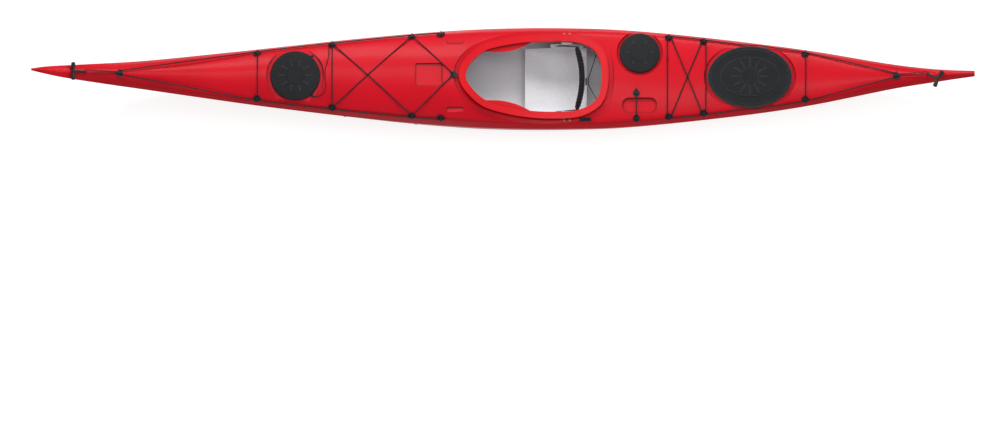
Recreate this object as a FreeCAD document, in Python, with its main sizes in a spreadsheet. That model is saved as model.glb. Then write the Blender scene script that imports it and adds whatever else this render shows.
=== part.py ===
import FreeCAD, Part
import math
import os
import Sketcher
from FreeCAD import Placement, Rotation, Vector

# Sea kayak, bow towards -X, port side towards -Y, +Z up. The origin lies on the flat of the keel
# at half the length. All lengths are in millimetres.

SIZES = {
    # hull and deck mouldings
    "hull_length": 5200,
    "hull_beam": 566,
    "hull_height": 514,
    "hull_wall": 4.5,
    "keel_flat_cut": 1.0,
    "deck_edge_inset": 36,
    "deck_edge_spread": 60,
    "joint_gap": 0.3,
    "running_clearance": 0.05,
    "cut_overrun": 20,
    "seam_tape_width": 36,
    "seam_tape_thickness": 1.2,
    "bulkhead_thickness": 6,
    # cockpit
    "cockpit_length": 750,
    "cockpit_half_width": 198,
    "cockpit_front": -205,
    "rim_width": 38,
    "rim_thickness": 9,
    "coaming_height": 35,
    "riser_wall": 5,
    "riser_drop": 10,
    "groove_width": 30,
    "thigh_brace_drop": 22,
    "thigh_brace_thickness": 6,
    # hatches
    "front_hatch_x": -1144,
    "front_cover_radius": 137,
    "front_well_radius": 160,
    "front_well_depth": 26,
    "day_hatch_x": 754,
    "day_hatch_y": 134,
    "day_hatch_tilt": 6,
    "day_cover_radius": 112,
    "day_well_radius": 127,
    "day_well_depth": 15,
    "rear_hatch_x": 1361,
    "rear_cover_length": 464,
    "rear_cover_width": 342,
    "rear_well_margin": 22,
    "rear_well_depth": 17,
    "rim_neck_wall": 3.5,
    "rim_neck_height": 12,
    "rim_lip": 5,
    "rim_lip_thickness": 4,
    "rim_sleeve_drop": 9,
    "cover_overhang": 9,
    "cover_wall": 3.5,
    "cover_height": 19,
    "cover_crown": 4,
    "cover_clearance": 0.4,
    "cover_disc_radius": 50,
    "cover_disc_height": 2,
    "cover_rib_width": 7,
    "cover_rib_height": 2,
    "cover_base_gap": 2.5,
    "cover_edge_step": 8,
    "cover_tab_width": 16,
    "cover_tab_length": 14,
    "cover_tab_thickness": 3,
    "rear_panel_length": 327,
    "rear_panel_width": 218,
    # moulded recesses of the deck
    "compass_x": -408,
    "compass_length": 153,
    "compass_width": 130,
    "compass_depth": 14,
    "compass_corner": 14,
    "paddle_recess_x": 753,
    "paddle_recess_y": -158,
    "paddle_recess_length": 192,
    "paddle_recess_width": 84,
    "paddle_recess_depth": 16,
    "dent_x": -264,
    "dent_y": 190,
    "dent_length": 95,
    "dent_width": 30,
    "dent_depth": 5,
    # bulkheads
    "front_bulkhead_x": -950,
    "day_bulkhead_x": 590,
    "rear_bulkhead_x": 985,
    # seat
    "seat_front_x": 122,
    "seat_length": 340,
    "seat_half_width": 186,
    "seat_floor_height": 30,
    "seat_front_rise": 42,
    "seat_back_rise": 26,
    "seat_side_rise": 96,
    "seat_wall": 4,
    "hanger_length": 180,
    "hanger_wall": 4,
    "hanger_foot_z": 90,
    "hanger_plate_top": 204,
    "hanger_shelf_z": 224,
    "hanger_shelf_y": 224,
    "hanger_tab_length": 60,
    "hanger_tab_y": 250.5,
    "seat_bolt_spacing": 30,
    "seat_bolt_x": 353,
    "seat_bolt_inset": 40,
    "seat_bolt_radius": 3,
    "seat_bolt_head_radius": 6,
    "seat_bolt_head_height": 3,
    "bolt_seat_gap": 0.8,
    # backband
    "backband_x": 421,
    "backband_half_width": 172,
    "backband_bow": 30,
    "backband_bottom": 140,
    "backband_top": 287,
    "backband_thickness": 28,
    "strap_width": 25,
    "strap_thickness": 2.4,
    "strap_anchor_x": 300,
    "strap_anchor_z": 190,
    "backband_corner": 9,
    "backband_crown": 4,
    "strap_gap": 0.6,
    "strap_end_gap": 4.8,
    "anchor_radius": 7,
    "anchor_thickness": 2.4,
    "anchor_shank_radius": 3,
    "anchor_nut_thickness": 3,
    "buckle_length": 8,
    "buckle_width": 34,
    "buckle_height": 40,
    "buckle_slot_width": 22,
    "buckle_slot_height": 5,
    "buckle_y": -20,
    "buckle_z": 215,
    "buckle_cord_gap": 7,
    "backband_cord_radius": 2.2,
    "backband_cord_x": 514,
    "backband_cord_y": 124,
    "backband_cord_z": 256,
    # foot braces
    "foot_front_bolt_x": -871,
    "foot_rear_bolt_x": -479,
    "foot_rail_z": 165,
    "foot_rail_overhang": 22,
    "foot_rail_height": 30,
    "foot_rail_depth": 12,
    "foot_rail_groove": 12,
    "foot_rail_groove_depth": 7,
    "foot_groove_end": 34,
    "foot_spacer": 8,
    "foot_spacer_radius": 8,
    "foot_bolt_radius": 3,
    "foot_bolt_head_radius": 6.5,
    "foot_bolt_head_height": 2.4,
    "pedal_height": 118,
    "pedal_width": 66,
    "pedal_thickness": 9,
    "pedal_carrier_length": 62,
    "pedal_carrier_height": 40,
    "pedal_carrier_depth": 10,
    "pedal_gap": 0.4,
    "pedal_tongue_depth": 6,
    "pedal_rib_depth": 2,
    "pedal_rib_height": 5,
    "pedal_rib_spacing": 15,
    "pedal_travel": 120,
    # skeg
    "skeg_pivot_x": 1566,
    "skeg_pivot_rise": 30.5,
    "skeg_length": 288,
    "skeg_angle": -3,
    "skeg_stow_angle": 23.5,
    "skeg_nose": 27.5,
    "skeg_rear_height": 80,
    "skeg_tip_radius": 26,
    "skeg_thickness": 5,
    "skeg_side_gap": 1.6,
    "skeg_box_wall": 3,
    "skeg_box_margin": 10,
    "skeg_box_top": 160,
    "skeg_pin_radius": 4,
    "skeg_cable_radius": 1.5,
    "skeg_housing_radius": 4,
    "skeg_gland_radius": 8,
    "skeg_gland_length": 22,
    "slider_x": 453,
    "slider_y": -236,
    "slider_length": 64,
    "slider_width": 22,
    "slider_depth": 16,
    "slider_lip": 1.6,
    "slider_lip_reach": 2,
    "slider_recess_depth": 1.5,
    "slider_recess_margin": 3,
    "slider_slot": 6,
    "slider_slot_depth": 10,
    "slider_knob_length": 18,
    "slider_knob_width": 14,
    "slider_knob_height": 9,
    "slider_stem_length": 10,
    "slider_travel": 19,
    "slider_rest": -17.4,
    "slider_end_wall": 4,
    # deck gear
    "fitting_length": 46,
    "fitting_width": 38,
    "fitting_base": 3,
    "fitting_bridge": 10,
    "fitting_height": 15,
    "fitting_eye_width": 25,
    "fitting_eye_height": 9,
    "fitting_leg_face": 16.3,
    "eye_lift": 1,
    "fitting_inset": 33,
    "seat_gap": 0.1,
    "fitting_fore_one_x": -1352,
    "fitting_fore_two_x": -939,
    "fitting_fore_three_x": -500,
    "fitting_fore_four_x": -341,
    "fitting_aft_one_x": 916,
    "fitting_aft_two_x": 1108,
    "fitting_aft_three_x": 1668,
    "bow_fitting_x": -2112,
    "stern_fitting_x": 2168,
    "centre_fitting_x": -268,
    "paddle_fitting_x": 735,
    "paddle_inner_y": -88,
    "paddle_outer_y": -226,
    "screw_radius": 2.5,
    "screw_head_radius": 4.5,
    "screw_head_height": 1.8,
    "screw_nut_height": 2.4,
    "screw_length": 14,
    "line_radius": 3,
    "line_outboard": 8,
    "bungee_radius": 3.2,
    "bungee_inboard": 1.5,
    "cord_rest": 1.2,
    "cord_turn": 8,
    "turn_reach": 10,
    "knot_reach": 9,
    "knot_length": 12,
    "knot_swell": 1.55,
    "knot_gap": 0.6,
    "knot_cant": 1.5,
    "taut_step": 8,
    "taut_tolerance": 0.7,
    "taut_bend": 60,
    "crossing_reach": 9,
    "centre_spread": 4.5,
    "detour_before": 45,
    "detour_after": 55,
    "detour_fore_y": 181,
    "detour_aft_y": 175,
    "tether_radius": 2,
    "tether_float": 1.8,
    "tether_eye_y": 8.5,
    "tether_beside_y": 14,
    "toggle_length": 98,
    "toggle_radius": 12,
    "toggle_waist": 8,
    "toggle_stem_radius": 6.5,
    "toggle_stem_length": 66,
    "toggle_eye_radius": 2.8,
    "toggle_cord_radius": 2,
    "toggle_loop_half": 10,
    "toggle_loop_run": 16,
    "toggle_loop_end": 3,
    "toggle_loop_turn": 4,
    "bow_toggle_x": -2303,
    "stern_toggle_x": 2342,
    "stern_toggle_yaw": 26,
}

# Lengthwise curves of the hull: share of the length from the bow, then share of the half beam or
# of the hull's height above the keel.
HALF_BEAM_SHARES = [
    (0, 0.02), (0.02, 0.09), (0.057, 0.163), (0.115, 0.272), (0.193, 0.449), (0.262, 0.605), (0.348, 0.785),
    (0.415, 0.902), (0.482, 0.978), (0.54, 1), (0.604, 0.984), (0.665, 0.906), (0.73, 0.781), (0.797, 0.624),
    (0.841, 0.494), (0.882, 0.348), (0.928, 0.197), (0.962, 0.118), (1, 0.055),
]
KEEL_SHARES = [
    (0, 0.93), (0.0106, 0.828), (0.0254, 0.686), (0.0477, 0.498), (0.07, 0.355), (0.085, 0.271), (0.105, 0.2),
    (0.137, 0.125), (0.179, 0.087), (0.221, 0.065), (0.262, 0.046), (0.295, 0.038), (0.348, 0.028),
    (0.397, 0.017), (0.441, 0.006), (0.49, 0), (0.605, 0), (0.65, 0.006), (0.7, 0.016), (0.751, 0.028),
    (0.801, 0.044), (0.854, 0.07), (0.878, 0.086), (0.904, 0.108), (0.926, 0.139), (0.946, 0.21),
    (0.963, 0.315), (0.98, 0.486), (0.993, 0.597), (1, 0.668),
]
SHEER_SHARES = [
    (0, 0.965), (0.0106, 0.934), (0.04, 0.813), (0.0625, 0.753), (0.094, 0.661), (0.142, 0.565), (0.189, 0.509),
    (0.243, 0.451), (0.295, 0.431), (0.349, 0.418), (0.397, 0.404), (0.465, 0.399), (0.56, 0.395),
    (0.609, 0.386), (0.677, 0.383), (0.73, 0.377), (0.772, 0.382), (0.815, 0.405), (0.8455, 0.436),
    (0.878, 0.466), (0.9, 0.49), (0.921, 0.52), (0.963, 0.589), (0.9886, 0.66), (1, 0.7),
]
DECK_SHARES = [
    (0, 1), (0.018, 0.919), (0.033, 0.859), (0.068, 0.798), (0.105, 0.745), (0.1515, 0.676), (0.179, 0.647),
    (0.217, 0.612), (0.253, 0.601), (0.29, 0.601), (0.323, 0.611), (0.37, 0.621), (0.4, 0.634), (0.423, 0.65),
    (0.441, 0.654), (0.465, 0.638), (0.497, 0.593), (0.529, 0.5525), (0.56, 0.529), (0.603, 0.521),
    (0.6325, 0.521), (0.672, 0.51), (0.714, 0.504), (0.762, 0.51), (0.804, 0.521), (0.8455, 0.543),
    (0.878, 0.566), (0.9, 0.586), (0.914, 0.595), (0.929, 0.606), (0.955, 0.649), (0.972, 0.68),
    (0.9886, 0.712), (1, 0.733),
]
# Share of the rise from the sheer to the deck's centre that the steep shoulder takes.
SHOULDER_SHARES = [
    (0, 0.5), (0.15, 0.55), (0.3, 0.62), (0.42, 0.56), (0.5, 0.5), (0.56, 0.64), (0.65, 0.7), (0.75, 0.72),
    (0.85, 0.72), (1, 0.5),
]
# How full the underwater section is: 0 a sharp V, 1 a rounded box.
FULLNESS_SHARES = [
    (0, 0), (0.1, 0.15), (0.25, 0.5), (0.4, 0.9), (0.5, 1), (0.65, 0.9), (0.8, 0.45), (0.9, 0.15), (1, 0),
]
# Top of the coaming's rim: share of its length, share of the hull's height.
RIM_TOP_SHARES = [
    (0, 0.68), (0.093, 0.639), (0.208, 0.595), (0.315, 0.564), (0.43, 0.541), (0.557, 0.5305), (0.73, 0.537),
    (0.85, 0.5525), (0.933, 0.564), (1, 0.572),
]
# Cockpit opening: share of its length from the front, share of its half width.
COCKPIT_SHARES = [
    (0, 0), (0.028, 0.295), (0.071, 0.487), (0.14, 0.69), (0.25, 0.83), (0.36, 0.915), (0.495, 0.98),
    (0.68, 1), (0.81, 0.965), (0.895, 0.853), (0.963, 0.64), (0.99, 0.36), (1, 0),
]
# Inner edge of a thigh brace, in the same shares as the cockpit opening.
THIGH_BRACE_SHARES = [(0.1, 0.72), (0.17, 0.685), (0.25, 0.685), (0.33, 0.73), (0.42, 0.85), (0.5, 1.02)]
THIGH_BRACE_OUTER_SHARE = 1.1

STATION_COUNT = 49
CAVITY_START_SHARE = 0.04
CAVITY_END_SHARE = 0.965
OUTLINE_SAMPLES = 40

doc = FreeCAD.newDocument("sea_kayak")
sheet = doc.addObject("Spreadsheet::Sheet", "Sizes")
for row, (alias, amount) in enumerate(SIZES.items(), 1):
    sheet.set("A%d" % row, alias)
    sheet.set("B%d" % row, str(amount))
    sheet.setAlias("B%d" % row, alias)
doc.recompute()


class Values:
    """Sizes read back from the sheet."""

    def __getattr__(self, alias):
        return float(getattr(sheet, alias))


v = Values()
pieces = []


# Helpers for the document


def keep(thing, label):
    """Marks an object of the document as the sub-part of that name."""
    thing.Label = label
    pieces.append(thing)
    return thing


def feature(label, shape, place=None):
    """A sub-part whose shape is worked out here."""
    thing = doc.addObject("Part::Feature", label)
    thing.Shape = shape
    if place is not None:
        thing.Placement = place
    return keep(thing, label)


def primitive(kind, name, formulas):
    """A Part primitive whose sizes follow the sheet."""
    thing = doc.addObject("Part::" + kind, name)
    for prop, formula in formulas.items():
        thing.setExpression(prop, formula)
    return thing


def design_body(name):
    return doc.addObject("PartDesign::Body", name)


def origin_item(body, role):
    return next(item for item in body.Origin.OriginFeatures if item.Role == role)


def sketch_on(body, name, role, height=None):
    """A sketch on one of the body's own planes, moved along its normal by a formula."""
    made = body.newObject("Sketcher::SketchObject", name)
    made.AttachmentSupport = [(origin_item(body, role), "")]
    made.MapMode = "FlatFace"
    if height is not None:
        made.setExpression(".AttachmentOffset.Base.z", height)
    return made


def draw_circle(sketch, radius_formula):
    """A circle about the sketch's origin whose radius follows the sheet."""
    at = sketch.addGeometry(Part.Circle(Vector(0, 0, 0), Vector(0, 0, 1), 1.0), False)
    sketch.addConstraint(Sketcher.Constraint("Coincident", at, 3, -1, 1))
    number = sketch.addConstraint(Sketcher.Constraint("Radius", at, 1.0))
    sketch.setExpression("Constraints[%d]" % number, radius_formula)




def draw_outline(sketch, corners):
    """A closed outline of straight lines through corners given from named sizes."""
    count = len(corners)
    for at in range(count):
        here, there = corners[at], corners[(at + 1) % count]
        sketch.addGeometry(Part.LineSegment(Vector(*here, 0), Vector(*there, 0)), False)


def pad_of(body, sketch, length_formula, both_ways=False, backwards=False):
    pad = body.newObject("PartDesign::Pad", sketch.Name + "_pad")
    pad.Profile = sketch
    pad.setExpression("Length", length_formula)
    pad.Midplane = both_ways
    pad.Reversed = backwards
    return pad


def pocket_of(body, sketch, length_formula, both_ways=False, backwards=False):
    """A pocket that must take material away."""
    doc.recompute()
    before = body.Shape.Volume
    pocket = body.newObject("PartDesign::Pocket", sketch.Name + "_pocket")
    pocket.Profile = sketch
    pocket.setExpression("Length", length_formula)
    pocket.Midplane = both_ways
    pocket.Reversed = backwards
    doc.recompute()
    if body.Shape.Volume >= before:
        raise RuntimeError(sketch.Name + " cuts nothing")
    return pocket


def turned(body, sketch, axis="V_Axis"):
    made = body.newObject("PartDesign::Revolution", sketch.Name + "_turned")
    made.Profile = sketch
    made.ReferenceAxis = (sketch, [axis])
    made.Angle = 360
    return made


def around(body, original, sketch, count):
    pattern = body.newObject("PartDesign::PolarPattern", original.Name + "_around")
    pattern.Originals = [original]
    pattern.Axis = (sketch, ["N_Axis"])
    pattern.Angle = 360
    pattern.Occurrences = count
    body.Tip = pattern
    return pattern


# Hull surfaces


def curve(table, share):
    """A smooth value between the rows of a table of shares."""
    last = len(table) - 1
    at = 0
    while at < last - 1 and share > table[at + 1][0]:
        at += 1

    def chord(j):
        return (table[j + 1][1] - table[j][1]) / (table[j + 1][0] - table[j][0])

    def slope(j):
        if j == 0:
            return chord(0)
        if j == last:
            return chord(last - 1)
        before, after = chord(j - 1), chord(j)
        return 0.0 if before * after <= 0 else 2 * before * after / (before + after)

    step = table[at + 1][0] - table[at][0]
    t = (share - table[at][0]) / step
    rise = (3 - 2 * t) * t * t
    start = t * (1 - t) ** 2 * step
    end = t * t * (t - 1) * step
    return (1 - rise) * table[at][1] + rise * table[at + 1][1] + start * slope(at) + end * slope(at + 1)


def station_x(share):
    return (share - 0.5) * v.hull_length


def share_at(x):
    return x / v.hull_length + 0.5


def height(table, share):
    return curve(table, share) * v.hull_height - v.keel_flat_cut


def half_beam(share):
    return curve(HALF_BEAM_SHARES, share) * v.hull_beam / 2


def half_section(share):
    """Starboard half of a cross section, keel to deck centre, as (y, z) control points."""
    beam = half_beam(share)
    keel = height(KEEL_SHARES, share)
    sheer = height(SHEER_SHARES, share)
    top = height(DECK_SHARES, share)
    edge = sheer + curve(SHOULDER_SHARES, share) * (top - sheer)
    full = curve(FULLNESS_SHARES, share)
    inset = v.deck_edge_inset * beam / (beam + v.deck_edge_spread)
    rise = sheer - keel
    inner = beam - inset
    return [
        (0, keel),
        (beam * (0.12 + 0.08 * full), keel),
        (beam * (0.34 + 0.31 * full), keel + rise * (0.16 - 0.13 * full)),
        (beam * (0.62 + 0.29 * full), keel + rise * (0.42 - 0.24 * full)),
        (beam * (0.84 + 0.15 * full), keel + rise * (0.72 - 0.14 * full)),
        (beam, sheer),
        (beam - 0.4 * inset, sheer + 0.42 * (edge - sheer)),
        (beam - 0.8 * inset, sheer + 0.86 * (edge - sheer)),
        (beam - 1.25 * inset, edge + 0.05 * (top - edge)),
        (0.62 * inner, edge + 0.62 * (top - edge)),
        (0.3 * inner, edge + 0.95 * (top - edge)),
        (0, top),
    ]


SHEER_POINT = 5


def section_ring(share, inward=0.0):
    """A whole cross section from the keel up the starboard side and round, moved inwards."""
    right = half_section(share)
    ring = right + [(-y, z) for y, z in reversed(right[1:-1])]
    if inward == 0:
        return ring
    moved = []
    for at, here in enumerate(ring):
        before, after = ring[at - 1], ring[(at + 1) % len(ring)]
        first = Vector(before[1] - here[1], here[0] - before[0]).normalize()
        second = Vector(here[1] - after[1], after[0] - here[0]).normalize()
        mitre = first + second
        mitre = mitre * (2 * inward / mitre.dot(mitre))
        moved.append((here[0] + mitre.x, here[1] + mitre.y))
    return moved


def knots(count):
    return [4] + [1] * (count - 4) + [4], list(range(count - 2))


def smooth_face(grid):
    """A cubic surface that follows a grid of control points."""
    surface = Part.BSplineSurface()
    across, knots_across = knots(len(grid))
    along, knots_along = knots(len(grid[0]))
    surface.buildFromPolesMultsKnots(grid, across, along, knots_across, knots_along, False, False, 3, 3)
    return surface.toShape()


def hull_solid(shares, inward=0.0):
    """The closed body between the stations, of a hull face, a deck face and two flat ends."""
    rings = [section_ring(share, inward) for share in shares]
    around_count = len(rings[0])
    hull_points = list(range(around_count - SHEER_POINT, around_count)) + list(range(SHEER_POINT + 1))
    deck_points = list(range(SHEER_POINT, around_count - SHEER_POINT + 1))
    faces = []
    for points in (hull_points, deck_points):
        grid = [[Vector(station_x(share), *ring[at]) for at in points] for share, ring in zip(shares, rings)]
        faces.append(smooth_face(grid))
    for x in (station_x(shares[0]), station_x(shares[-1])):
        ends = [edge for face in faces[:2] for edge in face.Edges
                if edge.BoundBox.XLength < 1e-6 and abs(edge.BoundBox.XMin - x) < 1e-6]
        faces.append(Part.Face(Part.Wire(Part.__sortEdges__(ends))))
    shell = Part.Shell(faces)
    shell.sewShape()
    solid = Part.Solid(shell)
    if solid.Volume < 0:
        solid.reverse()
    return solid


def stations():
    """Shares of the length, closer together towards both ends."""
    steps = [at / (STATION_COUNT - 1) for at in range(STATION_COUNT)]
    return [0.5 * step + 0.25 * (1 - math.cos(math.pi * step)) for step in steps]


def ribbon(heights):
    """A face across the whole beam whose height is given at even steps of x."""
    grid = [[Vector(x, side * v.hull_beam, z) for side in (-1, 1)] for x, z in heights]
    surface = Part.BSplineSurface()
    many, places = knots(len(grid))
    surface.buildFromPolesMultsKnots(grid, many, [2, 2], places, [0, 1], False, False, 3, 1)
    return surface.toShape()


ALL_STATIONS = stations()
CAVITY_STATIONS = [share for share in ALL_STATIONS if CAVITY_START_SHARE < share < CAVITY_END_SHARE]

keel_plane = Part.makeBox(2 * v.hull_length, 2 * v.hull_beam, v.hull_height,
                          Vector(-v.hull_length, -v.hull_beam, -v.hull_height))
outer = hull_solid(ALL_STATIONS).cut(keel_plane)
inner = hull_solid(CAVITY_STATIONS, v.hull_wall)
taped = hull_solid(CAVITY_STATIONS, v.hull_wall + v.seam_tape_thickness)
sheer_ribbon = ribbon([(station_x(share), height(SHEER_SHARES, share)) for share in ALL_STATIONS])
below_sheer = sheer_ribbon.extrude(Vector(0, 0, -2 * v.hull_height))
moulded = outer.cut(inner)
hull = moulded.common(below_sheer)
deck = moulded.cut(below_sheer)


deck_face = max((face for face in outer.Faces if face.Area > v.hull_length * v.hull_beam / 2),
                key=lambda face: face.CenterOfMass.z)


def deck_top(x, y):
    """Height of the deck's outer surface, as if it had no recess."""
    upright = Part.Line(Vector(x, y, 0), Vector(x, y, v.hull_height))
    return max(point.Z for point in upright.intersectCS(deck_face.Surface)[0])


def side_at(x, z, solid):
    """Half breadth of a solid at a height."""
    across = Part.makeLine(Vector(x, 0, z), Vector(x, v.hull_beam, z))
    return across.common(solid).BoundBox.YMax


def deck_frame(x, y, lift=0.0, heading=0.0):
    """A placement on the deck: Z along the deck's normal and X along the boat."""
    reach = v.fitting_width / 2
    along = Vector(2 * reach, 0, deck_top(x + reach, y) - deck_top(x - reach, y)).normalize()
    across = Vector(0, 2 * reach, deck_top(x, y + reach) - deck_top(x, y - reach)).normalize()
    normal = along.cross(across).normalize()
    across = normal.cross(along)
    turn = Rotation(along, across, normal, "ZXY")
    place = Placement(Vector(x, y, deck_top(x, y)) + normal * lift, turn)
    return place.multiply(Placement(Vector(0, 0, 0), Rotation(Vector(0, 0, 1), heading)))


def prism(outline, bottom, top):
    """An upright solid over a closed wire drawn at height zero."""
    lifted = Part.Face(outline)
    lifted.translate(Vector(0, 0, bottom))
    return lifted.extrude(Vector(0, 0, top - bottom))


def rounded_box(length, width, corner, bottom, top, x, y):
    box = Part.makeBox(length, width, top - bottom, Vector(x - length / 2, y - width / 2, bottom))
    uprights = [edge for edge in box.Edges if edge.BoundBox.ZLength > (top - bottom) / 2]
    return box.makeFillet(corner, uprights)


# Cockpit outline and the heights that follow it


def cockpit_outline(outward):
    """The opening's outline, moved outwards, as a closed smooth wire."""
    right = [Vector(v.cockpit_front + across * v.cockpit_length, wide * v.cockpit_half_width, 0)
             for across, wide in COCKPIT_SHARES]
    left = [Vector(point.x, -point.y, 0) for point in reversed(right[1:-1])]
    base = Part.BSplineCurve()
    base.interpolate(Points=right + left, PeriodicFlag=True)
    if outward == 0:
        return Part.Wire(base.toShape())
    span = base.LastParameter - base.FirstParameter
    moved = []
    for at in range(OUTLINE_SAMPLES):
        place = base.FirstParameter + span * at / OUTLINE_SAMPLES
        tangent = base.tangent(place)[0]
        moved.append(base.value(place) + Vector(-tangent.y, tangent.x, 0) * outward)
    grown = Part.BSplineCurve()
    grown.interpolate(Points=moved, PeriodicFlag=True)
    return Part.Wire(grown.toShape())


def rim_top(x):
    """Height of the rim's top, carried on level past both ends."""
    full_length = v.cockpit_length + 2 * v.rim_width
    share = (x - v.cockpit_front + v.rim_width) / full_length
    return curve(RIM_TOP_SHARES, min(max(share, 0), 1)) * v.hull_height


def rim_ribbon(drop):
    """A face that lies a drop below the rim's top."""
    start = v.cockpit_front - 3 * v.rim_width
    end = v.cockpit_front + v.cockpit_length + 3 * v.rim_width
    steps = [start + (end - start) * at / 24 for at in range(25)]
    return ribbon([(x, rim_top(x) - drop) for x in steps])


def rim_slab(upper_drop, lower_drop):
    return rim_ribbon(lower_drop).extrude(Vector(0, 0, lower_drop - upper_drop))


def above_rim(drop):
    return rim_ribbon(drop).extrude(Vector(0, 0, v.hull_height))


opening = prism(cockpit_outline(0), 0, v.hull_height)
riser_outside = prism(cockpit_outline(v.riser_wall), 0, v.hull_height)
rim_outside = prism(cockpit_outline(v.rim_width), 0, v.hull_height)
groove_reach = v.rim_width + v.groove_width
groove_cut = prism(cockpit_outline(groove_reach), 0, v.hull_height).common(above_rim(v.coaming_height))
groove_blank = prism(cockpit_outline(groove_reach + v.hull_wall), 0, v.hull_height)
groove_blank = groove_blank.common(above_rim(v.coaming_height + v.hull_wall)).common(outer)
cockpit_hole = prism(cockpit_outline(v.riser_wall + v.joint_gap), v.hull_height / 4, v.hull_height)

# Wells for the hatches and the other recesses of the deck

DECK_CLEAR = v.hull_height


def round_well(radius, floor_place):
    """Blank and cut of a round well in the frame of its floor."""
    blank = Part.makeCylinder(radius + v.hull_wall, DECK_CLEAR, Vector(0, 0, -v.hull_wall))
    cut = Part.makeCylinder(radius, DECK_CLEAR)
    blank.Placement = floor_place
    cut.Placement = floor_place
    return blank, cut


def oval(length, width, bottom, top):
    curve_round = Part.Ellipse(Vector(0, 0, 0), length / 2, width / 2)
    return prism(Part.Wire(curve_round.toShape()), bottom, top)


front_floor = Placement(Vector(v.front_hatch_x, 0, deck_top(v.front_hatch_x, 0) - v.front_well_depth), Rotation())
day_turn = Rotation(Vector(1, 0, 0), -v.day_hatch_tilt)
day_middle = Vector(v.day_hatch_x, v.day_hatch_y, deck_top(v.day_hatch_x, v.day_hatch_y))
day_floor = Placement(day_middle + day_turn.multVec(Vector(0, 0, -v.day_well_depth)), day_turn)
rear_floor = Placement(Vector(v.rear_hatch_x, 0, deck_top(v.rear_hatch_x, 0) - v.rear_well_depth), Rotation())

front_neck = v.front_cover_radius - v.cover_wall - v.cover_clearance - v.rim_lip
day_neck = v.day_cover_radius - v.cover_wall - v.cover_clearance - v.rim_lip
neck_inset = 2 * (v.cover_wall + v.cover_clearance + v.rim_lip)

blanks = [groove_blank]
cuts = [groove_cut, cockpit_hole]
for well_radius, neck, place in ((v.front_well_radius, front_neck, front_floor),
                                 (v.day_well_radius, day_neck, day_floor)):
    blank, cut = round_well(well_radius, place)
    mouth = Part.makeCylinder(neck + v.joint_gap, 2 * v.cut_overrun, Vector(0, 0, -v.cut_overrun))
    mouth.Placement = place
    blanks.append(blank.common(outer))
    cuts += [cut, mouth]
rear_blank = oval(v.rear_cover_length + 2 * (v.rear_well_margin + v.hull_wall),
                  v.rear_cover_width + 2 * (v.rear_well_margin + v.hull_wall), -v.hull_wall, DECK_CLEAR)
rear_cut = oval(v.rear_cover_length + 2 * v.rear_well_margin, v.rear_cover_width + 2 * v.rear_well_margin,
                0, DECK_CLEAR)
rear_mouth = oval(v.rear_cover_length - neck_inset + 2 * v.joint_gap,
                  v.rear_cover_width - neck_inset + 2 * v.joint_gap, -v.cut_overrun, v.cut_overrun)
for shape in (rear_blank, rear_cut, rear_mouth):
    shape.Placement = rear_floor
blanks.append(rear_blank.common(outer))
cuts += [rear_cut, rear_mouth]

compass_floor = deck_top(v.compass_x, v.compass_width / 2) - v.compass_depth
paddle_floor = deck_top(v.paddle_recess_x, v.paddle_recess_y) - v.paddle_recess_depth
recesses = [
    (v.compass_length, v.compass_width, v.compass_corner, compass_floor, v.compass_x, 0),
    (v.paddle_recess_length, v.paddle_recess_width, v.paddle_recess_width * 0.45, paddle_floor,
     v.paddle_recess_x, v.paddle_recess_y),
]
for side in (-1, 1):
    recesses.append((v.dent_length, v.dent_width, v.dent_width * 0.45,
                     deck_top(v.dent_x, v.dent_y) - v.dent_depth, v.dent_x, side * v.dent_y))
for length, width, corner, floor, x, y in recesses:
    grown = 2 * v.hull_wall
    blanks.append(rounded_box(length + grown, width + grown, corner + v.hull_wall, floor - v.hull_wall,
                              floor + DECK_CLEAR, x, y).common(outer))
    cuts.append(rounded_box(length, width, corner, floor, floor + DECK_CLEAR, x, y))
slider_frame = deck_frame(v.slider_x, v.slider_y, -v.slider_recess_depth)
slider_grown = 2 * (v.slider_recess_margin + v.hull_wall)
slider_blank = rounded_box(v.slider_length + slider_grown, v.slider_width + slider_grown,
                           v.slider_recess_margin + v.hull_wall, -v.hull_wall, DECK_CLEAR, 0, 0)
slider_cut = rounded_box(v.slider_length + 2 * v.slider_recess_margin, v.slider_width + 2 * v.slider_recess_margin,
                         v.slider_recess_margin, 0, DECK_CLEAR, 0, 0)
slider_body_length = v.slider_length - 2 * v.slider_lip_reach
slider_body_width = v.slider_width - 2 * v.slider_lip_reach
slider_hole = rounded_box(slider_body_length + 2 * v.joint_gap, slider_body_width + 2 * v.joint_gap,
                          v.slider_lip_reach, -v.cut_overrun, v.cut_overrun, 0, 0)
for shape in (slider_blank, slider_cut, slider_hole):
    shape.Placement = slider_frame
blanks.append(slider_blank.common(outer))
cuts += [slider_cut, slider_hole]
deck = deck.fuse(blanks).cut(cuts)

# Cords


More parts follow.
